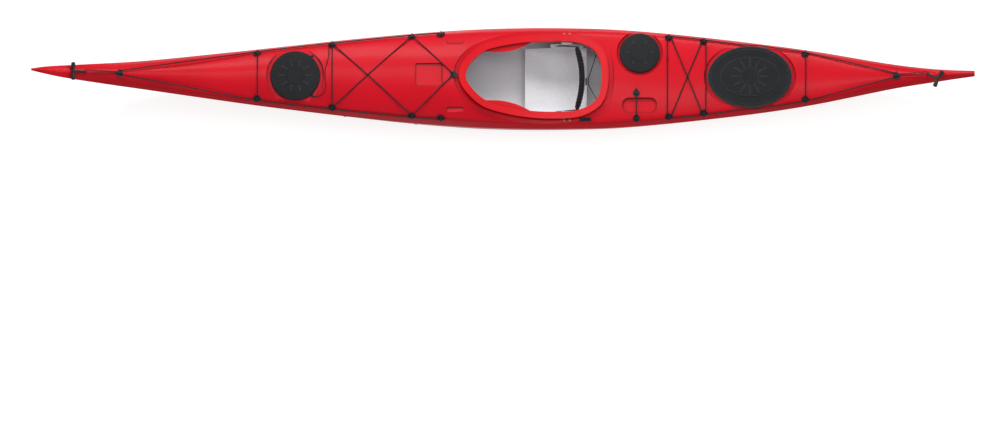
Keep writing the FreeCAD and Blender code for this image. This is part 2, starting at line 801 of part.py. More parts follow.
def cord(points, radius, bend=None):
    """A round cord along straight runs joined by tangent arcs; bend caps the arcs of a taut cord."""
    edges = []
    start = points[0]
    for before, here, after in zip(points, points[1:], points[2:]):
        back, ahead = before - here, after - here
        shorter = min(back.Length, ahead.Length)
        half_turn = (math.pi - back.getAngle(ahead)) / 2
        if half_turn < TURN_IGNORED:
            continue
        reach = 0.45 * shorter
        if bend is not None:
            cap = bend if half_turn > SHARP_TURN else v.taut_bend
            reach = min(reach, cap * math.tan(half_turn))
        arc = reach / math.tan(half_turn)
        back.normalize()
        ahead.normalize()
        leave, meet = here + back * reach, here + ahead * reach
        middle = (back + ahead).normalize()
        centre = here + middle * math.hypot(arc, reach)
        edges.append(Part.makeLine(start, leave))
        edges.append(Part.Arc(leave, centre - middle * arc, meet).toShape())
        start = meet
    edges.append(Part.makeLine(start, points[-1]))
    path = Part.Wire(edges)
    section = Part.Wire(Part.makeCircle(radius, points[0], points[1] - points[0]))
    tube = path.makePipeShell([section], True, True)
    expected = math.pi * radius ** 2 * path.Length
    if abs(tube.Volume - expected) > 0.02 * expected:
        raise RuntimeError("a cord's volume is off: %.0f for %.0f" % (tube.Volume, expected))
    cord_lengths.append(path.Length)
    return tube


TURN_IGNORED = 0.004
SHARP_TURN = 0.2
cord_lengths = []


def bead(place, radius, length):
    """A knot: a short barrel whose axis follows the cord."""
    middle = Part.makeCylinder(radius, length, Vector(-length / 2, 0, 0), Vector(1, 0, 0))
    knot = middle.makeFillet(radius * 0.45, [edge for edge in middle.Edges if edge.Length > 2 * radius])
    knot.Placement = place
    return knot


def pointing(point, direction):
    """A placement whose X axis points along a direction."""
    return Placement(point, Rotation(Vector(1, 0, 0), direction))


# Deck fittings: one model, copied to every place

base_body = design_body("fitting_model")
base_sketch = sketch_on(base_body, "fitting_base_outline", "XY_Plane")
half_length, half_width = v.fitting_length / 2, v.fitting_width / 2
shoulder = half_width * 0.55
draw_outline(base_sketch, [(-half_length, -shoulder), (-half_length + shoulder, -half_width),
                           (half_length - half_width, -half_width), (half_length, 0),
                           (half_length - half_width, half_width), (-half_length + shoulder, half_width),
                           (-half_length, shoulder)])
pad_of(base_body, base_sketch, "Sizes.fitting_base")
bridge_sketch = sketch_on(base_body, "fitting_bridge_outline", "XY_Plane")
draw_outline(bridge_sketch, [(-v.fitting_bridge / 2, -half_width + v.fitting_base),
                             (v.fitting_bridge / 2, -half_width + v.fitting_base),
                             (v.fitting_bridge / 2, half_width - v.fitting_base),
                             (-v.fitting_bridge / 2, half_width - v.fitting_base)])
pad_of(base_body, bridge_sketch, "Sizes.fitting_height")
eye_sketch = sketch_on(base_body, "fitting_eye_outline", "YZ_Plane")
eye_half = v.fitting_eye_width / 2
eye_top = v.fitting_base + v.fitting_eye_height
draw_outline(eye_sketch, [(-eye_half, v.fitting_base), (eye_half, v.fitting_base), (eye_half, eye_top - v.line_radius),
                          (eye_half - v.line_radius, eye_top), (-eye_half + v.line_radius, eye_top),
                          (-eye_half, eye_top - v.line_radius)])
pocket_of(base_body, eye_sketch, "Sizes.fitting_length", both_ways=True)
hole_sketch = sketch_on(base_body, "fitting_hole_outline", "XY_Plane")
draw_circle(hole_sketch, "Sizes.screw_radius + Sizes.running_clearance")
pocket_of(base_body, hole_sketch, "Sizes.fitting_base * 2", both_ways=True)
fitting_model = base_body.Shape


def bolt_model(name, head_radius, head_height, radius, length, nut_height):
    """A bolt along -Z whose head sits on the plane at height zero, with a nut at its end."""
    head = primitive("Cylinder", name + "_head", {"Radius": head_radius, "Height": head_height})
    shank = primitive("Cylinder", name + "_shank", {"Radius": radius, "Height": length})
    nut = primitive("Cylinder", name + "_nut", {"Radius": head_radius, "Height": nut_height})
    for low in (shank, nut):
        low.setExpression(".Placement.Base.z", "-(%s)" % length)
    whole = doc.addObject("Part::MultiFuse", name + "_model")
    whole.Shapes = [head, shank, nut]
    doc.recompute()
    return whole.Shape


screw_model = bolt_model("screw", "Sizes.screw_head_radius", "Sizes.screw_head_height", "Sizes.screw_radius",
                         "Sizes.screw_length", "Sizes.screw_nut_height")

FORE_FITTINGS = [("fore_one", v.fitting_fore_one_x), ("fore_two", v.fitting_fore_two_x),
                 ("fore_three", v.fitting_fore_three_x), ("fore_four", v.fitting_fore_four_x)]
AFT_FITTINGS = [("aft_one", v.fitting_aft_one_x), ("aft_two", v.fitting_aft_two_x),
                ("aft_three", v.fitting_aft_three_x)]
SPREAD_SHARES = (-1, -0.5, 0, 0.5, 1)


def fitting_frame(x, y, heading=0.0):
    """A placement in which a fitting's base touches the deck at its highest point."""
    place = deck_frame(x, y, heading=heading)
    highest = 0.0
    for along in SPREAD_SHARES:
        for across in SPREAD_SHARES:
            here = place.multVec(Vector(along * half_length, across * half_width, 0))
            highest = max(highest, deck_top(here.x, here.y) - here.z)
    return place.multiply(Placement(Vector(0, 0, highest + v.seat_gap), Rotation()))


frames = {}
for name, x in FORE_FITTINGS + AFT_FITTINGS:
    for side in (-1, 1):
        y = side * (half_beam(share_at(x)) - v.fitting_inset)
        frames[name, side] = fitting_frame(x, y)
frames["bow", 0] = fitting_frame(v.bow_fitting_x, 0, heading=90)
frames["stern", 0] = fitting_frame(v.stern_fitting_x, 0, heading=90)
frames["centre", 0] = fitting_frame(v.centre_fitting_x, 0)
frames["paddle", -1] = fitting_frame(v.paddle_fitting_x, v.paddle_inner_y, heading=90)
frames["paddle", 1] = fitting_frame(v.paddle_fitting_x, v.paddle_outer_y, heading=90)


def copies(model, names):
    return Part.makeCompound([model.transformed(frames[name].toMatrix(), copy=True) for name in names])


def eye(name, side, sideways=0.0, ahead=0.0):
    """A point in the eye of a fitting."""
    over = v.fitting_base + v.fitting_eye_height / 2 + v.eye_lift
    return frames[name, side].multVec(Vector(ahead, sideways, over))


def on_deck(x, y, lift):
    return Vector(x, y, deck_top(x, y) + lift)


fore_names = [(name, side) for name, _ in FORE_FITTINGS for side in (-1, 1)]
aft_names = [(name, side) for name, _ in AFT_FITTINGS for side in (-1, 1)]
end_names = [("bow", 0), ("stern", 0)]
paddle_names = [("paddle", -1), ("paddle", 1)]
feature("fore_deck_fittings", copies(fitting_model, fore_names))
feature("aft_deck_fittings", copies(fitting_model, aft_names))
feature("end_fittings", copies(fitting_model, end_names))
feature("centre_fitting", copies(fitting_model, [("centre", 0)]))
feature("paddle_fittings", copies(fitting_model, paddle_names))
every_fitting = fore_names + aft_names + end_names + [("centre", 0)] + paddle_names
screws = []
screw_holes = []
for name in every_fitting:
    place = frames[name].multiply(Placement(Vector(0, 0, v.fitting_base), Rotation()))
    screws.append(screw_model.transformed(place.toMatrix(), copy=True))
    hole = Part.makeCylinder(v.screw_radius + v.running_clearance, 2 * v.cut_overrun,
                             Vector(0, 0, -v.cut_overrun))
    screw_holes.append(hole.transformed(place.toMatrix(), copy=True))
feature("fitting_screws", Part.makeCompound(screws))
deck = deck.cut(screw_holes)

# Deck lines and bungees

knots_made = []


def knot_at(end, before, radius):
    """Adds a knot past the end of a cord and returns nothing."""
    heading = (end - before).normalize()
    middle = end + heading * (v.knot_length / 2 + v.knot_gap)
    knots_made.append(bead(pointing(middle, heading), radius * v.knot_swell, v.knot_length))


def rest_height(x, y, radius):
    """Height of a cord that lies on the deck or on the base of a fitting."""
    heights = [deck_top(x, y)]
    for place in frames.values():
        if math.hypot(x - place.Base.x, y - place.Base.y) < half_length + radius:
            normal = place.Rotation.multVec(Vector(0, 0, 1))
            top = place.Base + normal * v.fitting_base
            heights.append(top.z - (normal.x * (x - top.x) + normal.y * (y - top.y)) / normal.z)
    return max(heights) + radius + v.cord_rest


def taut(start, end, radius, crossing=None, over=0.0):
    """Points of a cord pulled tight over the deck, the fittings' bases and another cord."""
    flat = Vector(end.x - start.x, end.y - start.y, 0)
    steps = int(flat.Length / v.taut_step)
    places = []
    for at in range(steps + 1):
        share = at / steps
        here = start + (end - start) * share
        low = rest_height(here.x, here.y, radius)
        if crossing is not None and abs(here.x - crossing) < v.crossing_reach:
            low += over
        places.append((share * flat.Length, here.x, here.y, low))
    places[0] = (0, start.x, start.y, start.z)
    places[-1] = (flat.Length, end.x, end.y, end.z)
    hull_points = []
    for place in places:
        while len(hull_points) > 1:
            first, second = hull_points[-2:]
            rise = (second[3] - first[3]) * (place[0] - first[0])
            if rise > (place[3] - first[3]) * (second[0] - first[0]):
                break
            hull_points.pop()
        hull_points.append(place)
    kept = thinned(hull_points)
    return [Vector(x, y, z) for _, x, y, z in kept]


def thinned(points):
    """The points of an arched line without those that lie nearly on a straight run."""
    first, last = points[0], points[-1]
    best, gap = None, v.taut_tolerance
    for at in range(1, len(points) - 1):
        share = (points[at][0] - first[0]) / (last[0] - first[0])
        off = points[at][3] - (first[3] + share * (last[3] - first[3]))
        if off > gap:
            best, gap = at, off
    if best is None:
        return [first, last]
    return thinned(points[:best + 1])[:-1] + thinned(points[best:])


def perimeter_line(chain, end_fitting, turn_back, detour):
    """Both sides of a deck line that turns round in the eye of an end fitting."""
    sides = []
    for side in (1, -1):
        outboard = side * v.line_outboard
        points = [eye(chain[0], side, outboard, turn_back * v.knot_reach)]
        points += [eye(chain[0], side, outboard)]
        for name in chain[1:]:
            if name == "aft_three":
                points += [Vector(x, side * y, rear_floor.Base.z + v.line_radius + v.cord_rest) for x, y in detour]
            points.append(eye(name, side, outboard))
        points.append(eye(end_fitting, 0, 0, side * v.turn_reach))
        sides.append(points)
        knot_at(points[0], points[1], v.line_radius)
    return cord(sides[0] + sides[1][::-1], v.line_radius, v.cord_turn)


feature("fore_deck_line", perimeter_line(["fore_four", "fore_three", "fore_two", "fore_one"], "bow", 1, []))
detour = [(v.rear_hatch_x - v.detour_before, v.detour_fore_y), (v.rear_hatch_x + v.detour_after, v.detour_aft_y)]
feature("aft_deck_line", perimeter_line(["aft_one", "aft_two", "aft_three"], "stern", -1, detour))


def cross_line(name):
    inboard = half_width + v.knot_length + v.cord_rest
    height_over = v.line_radius * v.knot_swell + v.joint_gap
    ends = [frames[name, side].multVec(Vector(0, -side * inboard, height_over)) for side in (1, -1)]
    route = taut(ends[0], ends[1], v.line_radius)
    knot_at(route[0], route[1], v.line_radius)
    knot_at(route[-1], route[-2], v.line_radius)
    return cord(route, v.line_radius, v.taut_bend)


feature("fore_cross_lines", Part.makeCompound([cross_line("fore_one"), cross_line("fore_two")]))
feature("aft_cross_line", cross_line("aft_three"))

fore_bungees = []
for side in (1, -1):
    over = 2 * v.bungee_radius + v.cord_rest if side > 0 else 0
    knotted = eye("fore_two", side, -side * (v.bungee_inboard + v.knot_cant), -v.knot_reach)
    start = eye("fore_two", side, -side * v.bungee_inboard)
    around_eye = eye("fore_three", -side, side * v.bungee_inboard)
    crossing = (start.x + (around_eye.x - start.x) * start.y / (start.y - around_eye.y))
    finish = frames["centre", 0].multVec(Vector(-v.fitting_bridge / 2 - v.bungee_radius, -side * v.centre_spread,
                                                v.fitting_base + v.bungee_radius + v.cord_rest + v.screw_head_height))
    route = [knotted] + taut(start, around_eye, v.bungee_radius, crossing, over)
    route += taut(around_eye, finish, v.bungee_radius)[1:]
    fore_bungees.append(cord(route, v.bungee_radius, v.cord_turn))
    knot_at(knotted, start, v.bungee_radius)
feature("fore_bungees", Part.makeCompound(fore_bungees))

reach = v.turn_reach
inboard = v.bungee_inboard
over = 2 * v.bungee_radius + v.cord_rest
one_port = [eye("aft_one", -1, inboard, at) for at in (-reach, reach)]
one_starboard = [eye("aft_one", 1, -inboard, at) for at in (-reach, reach)]
two_port = [eye("aft_two", -1, inboard, at) for at in (-reach, reach)]
two_starboard = [eye("aft_two", 1, -inboard, at) for at in (-reach, reach)]
front_run = taut(one_port[0], one_starboard[0], v.bungee_radius)
crossing = (one_starboard[1].x + two_port[0].x) / 2
diagonal = taut(one_starboard[1], two_port[0], v.bungee_radius, crossing, over)
rear_run = taut(two_port[1], two_starboard[1], v.bungee_radius)
other_diagonal = taut(two_starboard[0], one_port[1], v.bungee_radius)
tied = max(range(len(front_run) - 1), key=lambda at: (front_run[at + 1] - front_run[at]).Length)
tie = (front_run[tied] + front_run[tied + 1]) * 0.5 + Vector(0, 0, v.bungee_radius * (v.knot_swell - 1))
tie_direction = (front_run[tied + 1] - front_run[tied]).normalize()
tie_reach = v.knot_length / 2 + v.knot_gap
route = [tie + tie_direction * tie_reach] + front_run[tied + 1:] + diagonal + rear_run + other_diagonal
route += front_run[:tied + 1] + [tie - tie_direction * tie_reach]
knots_made.append(bead(pointing(tie, tie_direction), v.bungee_radius * v.knot_swell, v.knot_length))
feature("aft_bungee", cord(route, v.bungee_radius, v.cord_turn))

inner_end = eye("paddle", -1, 0, v.knot_reach)
outer_end = eye("paddle", 1, 0, -v.knot_reach)
over_base = v.fitting_base + v.bungee_radius + v.cord_rest
base_edges = [frames["paddle", side].multVec(Vector(side * half_length, 0, over_base)) for side in (-1, 1)]
paddle_route = [inner_end, eye("paddle", -1)] + base_edges + [eye("paddle", 1), outer_end]
feature("paddle_bungee", cord(paddle_route, v.bungee_radius, v.cord_turn))
knot_at(paddle_route[0], paddle_route[1], v.bungee_radius)
knot_at(paddle_route[-1], paddle_route[-2], v.bungee_radius)
feature("line_knots", Part.makeCompound(knots_made))

# Carrying toggles: one model, on a loop of cord at each end

toggle_body = design_body("toggle_model")
bar_sketch = sketch_on(toggle_body, "toggle_bar_outline", "XY_Plane")
half_bar = v.toggle_length / 2
draw_outline(bar_sketch, [(0, -half_bar), (v.toggle_radius * 0.7, -half_bar), (v.toggle_radius, -half_bar * 0.9),
                          (v.toggle_radius, -half_bar * 0.72), (v.toggle_waist, -half_bar * 0.3),
                          (v.toggle_waist, half_bar * 0.3), (v.toggle_radius, half_bar * 0.72),
                          (v.toggle_radius, half_bar * 0.9), (v.toggle_radius * 0.7, half_bar), (0, half_bar)])
turned(toggle_body, bar_sketch)
stem_sketch = sketch_on(toggle_body, "toggle_stem_outline", "YZ_Plane")
draw_circle(stem_sketch, "Sizes.toggle_stem_radius")
pad_of(toggle_body, stem_sketch, "Sizes.toggle_stem_length + Sizes.toggle_stem_radius")
toggle_eye = sketch_on(toggle_body, "toggle_eye_outline", "XZ_Plane")
at = toggle_eye.addGeometry(Part.Circle(Vector(v.toggle_stem_length, 0, 0), Vector(0, 0, 1), v.toggle_eye_radius))
pocket_of(toggle_body, toggle_eye, "Sizes.toggle_length", both_ways=True)
toggle_model = toggle_body.Shape


def toggle_at(name, pivot_x, yaw, end_fitting):
    """A toggle that lies on the deck, and the loop of cord from its eye to the end fitting."""
    turn = Rotation(Vector(0, 0, 1), yaw)
    heading = turn.multVec(Vector(-1, 0, 0))
    pivot = on_deck(pivot_x, 0, v.toggle_stem_radius * math.sqrt(2) + v.cord_rest)
    bar_middle = pivot + heading * v.toggle_stem_length
    bar_reach = half_bar * abs(math.sin(math.radians(yaw)))
    bar_height = max(deck_top(bar_middle.x + step * bar_reach, 0) for step in SPREAD_SHARES)
    bar_height += v.toggle_radius + v.cord_rest
    pitch = math.degrees(math.asin((bar_height - pivot.z) / v.toggle_stem_length))
    turn = turn.multiply(Rotation(Vector(0, 1, 0), pitch))
    place = Placement(pivot, turn).multiply(Placement(Vector(-v.toggle_stem_length, 0, 0), Rotation()))
    feature(name, toggle_model.copy(), place)
    sideways = turn.multVec(Vector(0, v.toggle_loop_half, 0))
    away = turn.multVec(Vector(v.toggle_loop_run, 0, 0))
    aim = 1 if pivot_x < 0 else -1
    ends = [frames[end_fitting, 0].multVec(Vector(side * v.toggle_loop_end * aim, aim * v.fitting_leg_face,
                                                  v.fitting_base + v.toggle_cord_radius + v.cord_rest))
            for side in (1, -1)]
    if (ends[0] - pivot).dot(sideways) < 0:
        ends.reverse()
    points = [ends[0], pivot + sideways + away, pivot + sideways, pivot - sideways, pivot - sideways + away, ends[1]]
    feature(name + "_cord", cord(points, v.toggle_cord_radius, v.toggle_loop_turn))
    return place, pivot, turn


bow_toggle = toggle_at("bow_toggle", v.bow_toggle_x, 0, "bow")
stern_toggle = toggle_at("stern_toggle", v.stern_toggle_x, 180 - v.stern_toggle_yaw, "stern")

# Cockpit coaming

rim = rim_outside.cut(opening).common(rim_slab(0, v.rim_thickness))
riser = riser_outside.cut(opening).common(rim_slab(0, v.coaming_height + v.hull_wall + v.riser_drop))
braces = []
for side in (1, -1):
    inner_points = [Vector(v.cockpit_front + across * v.cockpit_length, side * wide * v.cockpit_half_width, 0)
                    for across, wide in THIGH_BRACE_SHARES]
    edge = Part.BSplineCurve()
    edge.interpolate(Points=inner_points)
    outside = side * THIGH_BRACE_OUTER_SHARE * v.cockpit_half_width
    far, near = Vector(inner_points[-1].x, outside, 0), Vector(inner_points[0].x, outside, 0)
    outline = Part.Wire([edge.toShape(), Part.makeLine(inner_points[-1], far), Part.makeLine(far, near),
                         Part.makeLine(near, inner_points[0])])
    lobe = prism(outline, 0, v.hull_height).common(riser_outside)
    braces.append(lobe.common(rim_slab(v.thigh_brace_drop, v.thigh_brace_drop + v.thigh_brace_thickness)))
coaming = rim.fuse([riser] + braces)
feature("cockpit_coaming", coaming)

# Hatches


def cover_profile(radius):
    """Half section of a round cover above the floor of its well."""
    bottom = v.cover_base_gap
    top = v.cover_height
    crown = top + v.cover_crown
    inside = radius - v.cover_wall
    under = v.rim_neck_height + v.cover_clearance
    return [(0, under), (inside, under), (inside, bottom), (radius, bottom), (radius, 0.72 * top),
            (0.975 * radius, 0.93 * top), (0.9 * radius, top), (0.7 * radius, top + 0.5 * v.cover_crown),
            (0.45 * radius, top + 0.9 * v.cover_crown), (v.cover_disc_radius, crown),
            (v.cover_disc_radius - v.cover_disc_height, crown + v.cover_disc_height),
            (0, crown + v.cover_disc_height)]


def rib_outline(start, end):
    half = v.cover_rib_width / 2
    return [(start, -half), (end, -half), (end, half), (start, half)]


def tab_outline(radius, angle):
    """A pull tab at the cover's edge, as corners turned by its angle."""
    half = v.cover_tab_width / 2
    corners = [(radius - v.cover_wall, -half), (radius + v.cover_tab_length, -half),
               (radius + v.cover_tab_length, half), (radius - v.cover_wall, half)]
    cosine, sine = math.cos(math.radians(angle)), math.sin(math.radians(angle))
    return [(x * cosine - y * sine, x * sine + y * cosine) for x, y in corners]


def round_hatch(name, radius, neck, place, ribs, tab_angles):
    rim_body = design_body(name + "_rim_model")
    rim_sketch = sketch_on(rim_body, name + "_rim_outline", "XZ_Plane")
    lip_under = v.rim_neck_height - v.rim_lip_thickness
    draw_outline(rim_sketch, [(neck - v.rim_neck_wall, -v.rim_sleeve_drop), (neck, -v.rim_sleeve_drop),
                              (neck, lip_under), (neck + v.rim_lip, lip_under), (neck + v.rim_lip, v.rim_neck_height),
                              (neck - v.rim_neck_wall, v.rim_neck_height)])
    turned(rim_body, rim_sketch)
    rim_body.Placement = place
    keep(rim_body, name + "_rim")
    cover = design_body(name + "_cover_model")
    section = sketch_on(cover, name + "_cover_outline", "XZ_Plane")
    draw_outline(section, cover_profile(radius))
    turned(cover, section)
    if tab_angles:
        tab = sketch_on(cover, name + "_tab_outline", "XY_Plane", "Sizes.cover_base_gap")
        for angle in tab_angles:
            draw_outline(tab, tab_outline(radius, angle))
        pad_of(cover, tab, "Sizes.cover_tab_thickness")
    rib = sketch_on(cover, name + "_rib_outline", "XY_Plane", "Sizes.cover_height")
    draw_outline(rib, rib_outline(v.cover_disc_radius + v.cover_rib_width, 0.66 * radius))
    rib_pad = pad_of(cover, rib, "Sizes.cover_crown + Sizes.cover_rib_height")
    around(cover, rib_pad, rib, ribs)
    cover.Placement = place
    keep(cover, name + "_cover")


round_hatch("front_hatch", v.front_cover_radius, front_neck, front_floor, 10, (50, -50))
round_hatch("day_hatch", v.day_cover_radius, day_neck, day_floor, 6, ())

neck_length, neck_width = v.rear_cover_length - neck_inset, v.rear_cover_width - neck_inset
lip_under = v.rim_neck_height - v.rim_lip_thickness
rear_bore = oval(neck_length - 2 * v.rim_neck_wall, neck_width - 2 * v.rim_neck_wall, -v.cut_overrun, v.cut_overrun)
rear_rim = oval(neck_length, neck_width, -v.rim_sleeve_drop, v.rim_neck_height)
rear_lip = oval(neck_length + 2 * v.rim_lip, neck_width + 2 * v.rim_lip, lip_under, v.rim_neck_height)
feature("rear_hatch_rim", rear_rim.fuse(rear_lip).cut(rear_bore), rear_floor)


def oval_sketch(body, name, length, width, height_formula):
    made = sketch_on(body, name, "XY_Plane", height_formula)
    made.addGeometry(Part.Ellipse(Vector(0, 0, 0), length / 2, width / 2), False)
    return made


rear = design_body("rear_cover_model")
full, wide = v.rear_cover_length, v.rear_cover_width
pad_of(rear, oval_sketch(rear, "rear_skirt", full, wide, "Sizes.cover_base_gap"),
       "Sizes.cover_height * 0.72 - Sizes.cover_base_gap")
step = v.cover_edge_step
pad_of(rear, oval_sketch(rear, "rear_edge", full - step, wide - step, "Sizes.cover_base_gap"),
       "Sizes.cover_height * 0.9 - Sizes.cover_base_gap")
pad_of(rear, oval_sketch(rear, "rear_top", full - 4 * step, wide - 4 * step, "Sizes.cover_base_gap"),
       "Sizes.cover_height - Sizes.cover_base_gap")
pad_of(rear, oval_sketch(rear, "rear_panel", v.rear_panel_length, v.rear_panel_width, "Sizes.cover_base_gap"),
       "Sizes.cover_height + Sizes.cover_crown - Sizes.cover_base_gap")
disc_sketch = sketch_on(rear, "rear_disc", "XY_Plane", "Sizes.cover_base_gap")
draw_circle(disc_sketch, "Sizes.cover_disc_radius")
pad_of(rear, disc_sketch, "Sizes.cover_height + Sizes.cover_crown + Sizes.cover_disc_height - Sizes.cover_base_gap")
pocket_of(rear, oval_sketch(rear, "rear_hollow", full - 2 * v.cover_wall, wide - 2 * v.cover_wall,
                            "Sizes.rim_neck_height + Sizes.cover_clearance"), "Sizes.cover_height")
rear_rib = sketch_on(rear, "rear_rib_outline", "XY_Plane", "Sizes.cover_height")
draw_outline(rear_rib, rib_outline(v.cover_disc_radius + v.cover_rib_width, 0.46 * v.rear_panel_width))
around(rear, pad_of(rear, rear_rib, "Sizes.cover_crown + Sizes.cover_rib_height"), rear_rib, 12)
rear.Placement = rear_floor
keep(rear, "rear_hatch_cover")

tab_angle = math.radians(50)
tab_reach = v.front_cover_radius + v.cover_tab_length + v.tether_radius
tab_end = front_floor.multVec(Vector(tab_reach * math.cos(tab_angle), -tab_reach * math.sin(tab_angle),
                                     v.cover_base_gap + v.tether_radius))
tether_start = [eye("fore_two", 1, -v.tether_eye_y),
                eye("fore_two", 1, -v.tether_beside_y, -v.knot_reach - v.knot_length)]
tether_places = [(-958, 116), (-966, 80), (-978, 40), (-981, -6), (-974, -52), (-982, -92), (-1006, -114),
                 (-1031, -117)]
tether_route = [on_deck(x, y, v.tether_radius + v.cord_rest + v.tether_float) for x, y in tether_places]
feature("front_hatch_tether", cord(tether_start + tether_route + [tab_end], v.tether_radius))

# Bulkheads and the tape over the joint of hull and deck

bonded = hull_solid(CAVITY_STATIONS, v.hull_wall + v.joint_gap)
bulkhead_fit = hull_solid(CAVITY_STATIONS, v.hull_wall + v.seam_tape_thickness + v.joint_gap)
half_tape = v.seam_tape_width / 2
tape_band = sheer_ribbon.copy()
tape_band.translate(Vector(0, 0, -half_tape))
tape_band = tape_band.extrude(Vector(0, 0, v.seam_tape_width))
tape = inner.cut(taped).common(tape_band)
feature("seam_tape", tape)
housing_hole_radius = v.skeg_housing_radius + v.joint_gap
slider_outlet = slider_frame.multVec(Vector(slider_body_length / 2, 0, v.skeg_housing_radius + v.joint_gap
                                            - v.slider_depth))
HOUSING_PLACES = [(530, -236, 226), (700, -225, 190), (1000, -170, 150), (1300, -80, 110), (1450, -12, 76)]
box_front_x = v.skeg_pivot_x - v.skeg_nose - v.skeg_box_margin - v.skeg_box_wall
pivot_z = height(KEEL_SHARES, share_at(v.skeg_pivot_x)) + v.skeg_pivot_rise
cable_z = pivot_z + v.skeg_nose * 0.7
gland_front = box_front_x - v.skeg_gland_length
housing_route = [slider_outlet + Vector(v.joint_gap, 0, 0)] + [Vector(*place) for place in HOUSING_PLACES]
housing_route.append(Vector(gland_front - v.joint_gap, 0, cable_z))
housing_outside = cord(housing_route, v.skeg_housing_radius)
housing_space = cord(housing_route, housing_hole_radius)
for name, x in (("front_bulkhead", v.front_bulkhead_x), ("day_bulkhead", v.day_bulkhead_x),
                ("rear_bulkhead", v.rear_bulkhead_x)):
    panel = Part.makeBox(v.bulkhead_thickness, 2 * v.hull_beam, v.hull_height,
                         Vector(x - v.bulkhead_thickness / 2, -v.hull_beam, 0))
    panel = bulkhead_fit.common(panel)
    if x > 0:
        panel = panel.cut([housing_space, groove_blank.translated(Vector(0, 0, -v.joint_gap))])
    feature(name, max(panel.Solids, key=lambda solid: solid.Volume))

# Seat

SEAT_SHARES = [(0, 1, 0.62), (0.12, 0.75, 0.7), (0.3, 0.2, 0.85), (0.5, 0, 1), (0.68, 0, 1), (0.84, 0.18, 1),
                (1, 1, 1)]


def seat_column(along, lip, side_share):
    """Control points across the seat's underside at one share of its length."""
    rise = v.seat_front_rise if along < 0.5 else v.seat_back_rise
    floor = v.seat_floor_height - v.seat_wall + lip * rise
    top = v.seat_floor_height + side_share * v.seat_side_rise
    half = v.seat_half_width
    right = [(0, floor), (0.3 * half, floor), (0.62 * half, floor + 0.02 * (top - floor)),
             (0.9 * half, floor + 0.1 * (top - floor)), (half, floor + 0.45 * (top - floor)),
             (half, floor + 0.72 * (top - floor)), (half, top)]
    x = v.seat_front_x + along * v.seat_length
    return [Vector(x, -y, z) for y, z in reversed(right[1:])] + [Vector(x, y, z) for y, z in right]


def raised_copy(column):
    """The same row of control points moved inwards by the wall."""
    moved = []
    for at, here in enumerate(column):
        before = column[max(at - 1, 0)]
        after = column[min(at + 1, len(column) - 1)]
        normal = Vector(0, before.z - after.z, after.y - before.y).normalize()
        moved.append(here + normal * v.seat_wall)
    return moved


def skin_between(lower_grid, upper_grid):
    """A closed solid between two grids whose edges answer to each other."""
    lower, upper = smooth_face(lower_grid), smooth_face(upper_grid)
    faces = [lower, upper]
    for near, far in zip(lower.Edges, upper.Edges):
        faces.append(Part.makeRuledSurface(near, far))
    shell = Part.Shell(faces)
    shell.sewShape()
    solid = Part.Solid(shell)
    if solid.Volume < 0:
        solid.reverse()
    return solid


seat_columns = [seat_column(*row) for row in SEAT_SHARES]
feature("seat_pan", skin_between(seat_columns, [raised_copy(column) for column in seat_columns]))

hanger_body = design_body("hanger_model")
inner_y = v.seat_half_width + v.joint_gap
outer_y = inner_y + v.hanger_wall
plate_sketch = sketch_on(hanger_body, "hanger_plate_outline", "YZ_Plane")
draw_outline(plate_sketch, [(inner_y, v.hanger_foot_z), (outer_y, v.hanger_foot_z), (outer_y, v.hanger_plate_top),
                            (inner_y, v.hanger_plate_top)])
pad_of(hanger_body, plate_sketch, "Sizes.hanger_length", both_ways=True)
tab_sketch = sketch_on(hanger_body, "hanger_tab_outline", "YZ_Plane")
tab_top = rim_top(v.seat_bolt_x - v.hanger_tab_length / 2) - v.coaming_height - v.hull_wall - v.joint_gap
shelf, wall = v.hanger_shelf_z, v.hanger_wall
draw_outline(tab_sketch, [(inner_y, v.hanger_foot_z), (outer_y, v.hanger_foot_z), (outer_y, shelf - wall),
                          (v.hanger_shelf_y, shelf - wall), (v.hanger_shelf_y, tab_top - wall),
                          (v.hanger_tab_y, tab_top - wall), (v.hanger_tab_y, tab_top),
                          (v.hanger_shelf_y - wall, tab_top), (v.hanger_shelf_y - wall, shelf), (inner_y, shelf)])
pad_of(hanger_body, tab_sketch, "Sizes.hanger_tab_length", both_ways=True)
doc.recompute()
bolt_y = half_beam(share_at(v.seat_bolt_x)) - v.seat_bolt_inset
bolt_hole = Part.makeCylinder(v.seat_bolt_radius + v.running_clearance, 2 * v.cut_overrun)
seat_bolt_model = bolt_model("seat_bolt", "Sizes.seat_bolt_head_radius", "Sizes.seat_bolt_head_height",
                             "Sizes.seat_bolt_radius", "Sizes.hull_wall + Sizes.hanger_wall * 2 + "
                             "Sizes.seat_bolt_head_height", "Sizes.seat_bolt_head_height")
seat_bolts, seat_holes, hangers = [], [], []
hanger_gap_top = tab_top + v.cut_overrun
for side in (1, -1):
    turn = Rotation(Vector(0, 0, 1), 0 if side > 0 else 180)
    hanger = hanger_body.Shape.transformed(Placement(Vector(v.seat_bolt_x, 0, 0), turn).toMatrix(), copy=True)
    holes = []
    for step in (-0.5, 0.5):
        x = v.seat_bolt_x + step * v.seat_bolt_spacing
        floor = rim_top(x) - v.coaming_height + v.bolt_seat_gap
        seat_bolts.append(seat_bolt_model.translated(Vector(x, side * bolt_y, floor)))
        holes.append(bolt_hole.translated(Vector(x, side * bolt_y, floor - v.cut_overrun)))
    anchor_hole = Part.makeCylinder(v.anchor_shank_radius + v.running_clearance, 2 * v.cut_overrun,
                                    Vector(v.strap_anchor_x, side * (inner_y - v.cut_overrun / 2), v.strap_anchor_z),
                                    Vector(0, side, 0))
    hangers.append(hanger.cut(holes + [anchor_hole]))
    seat_holes += holes
feature("seat_hangers", Part.makeCompound(hangers))
feature("seat_bolts", Part.makeCompound(seat_bolts))
deck = deck.cut(seat_holes)

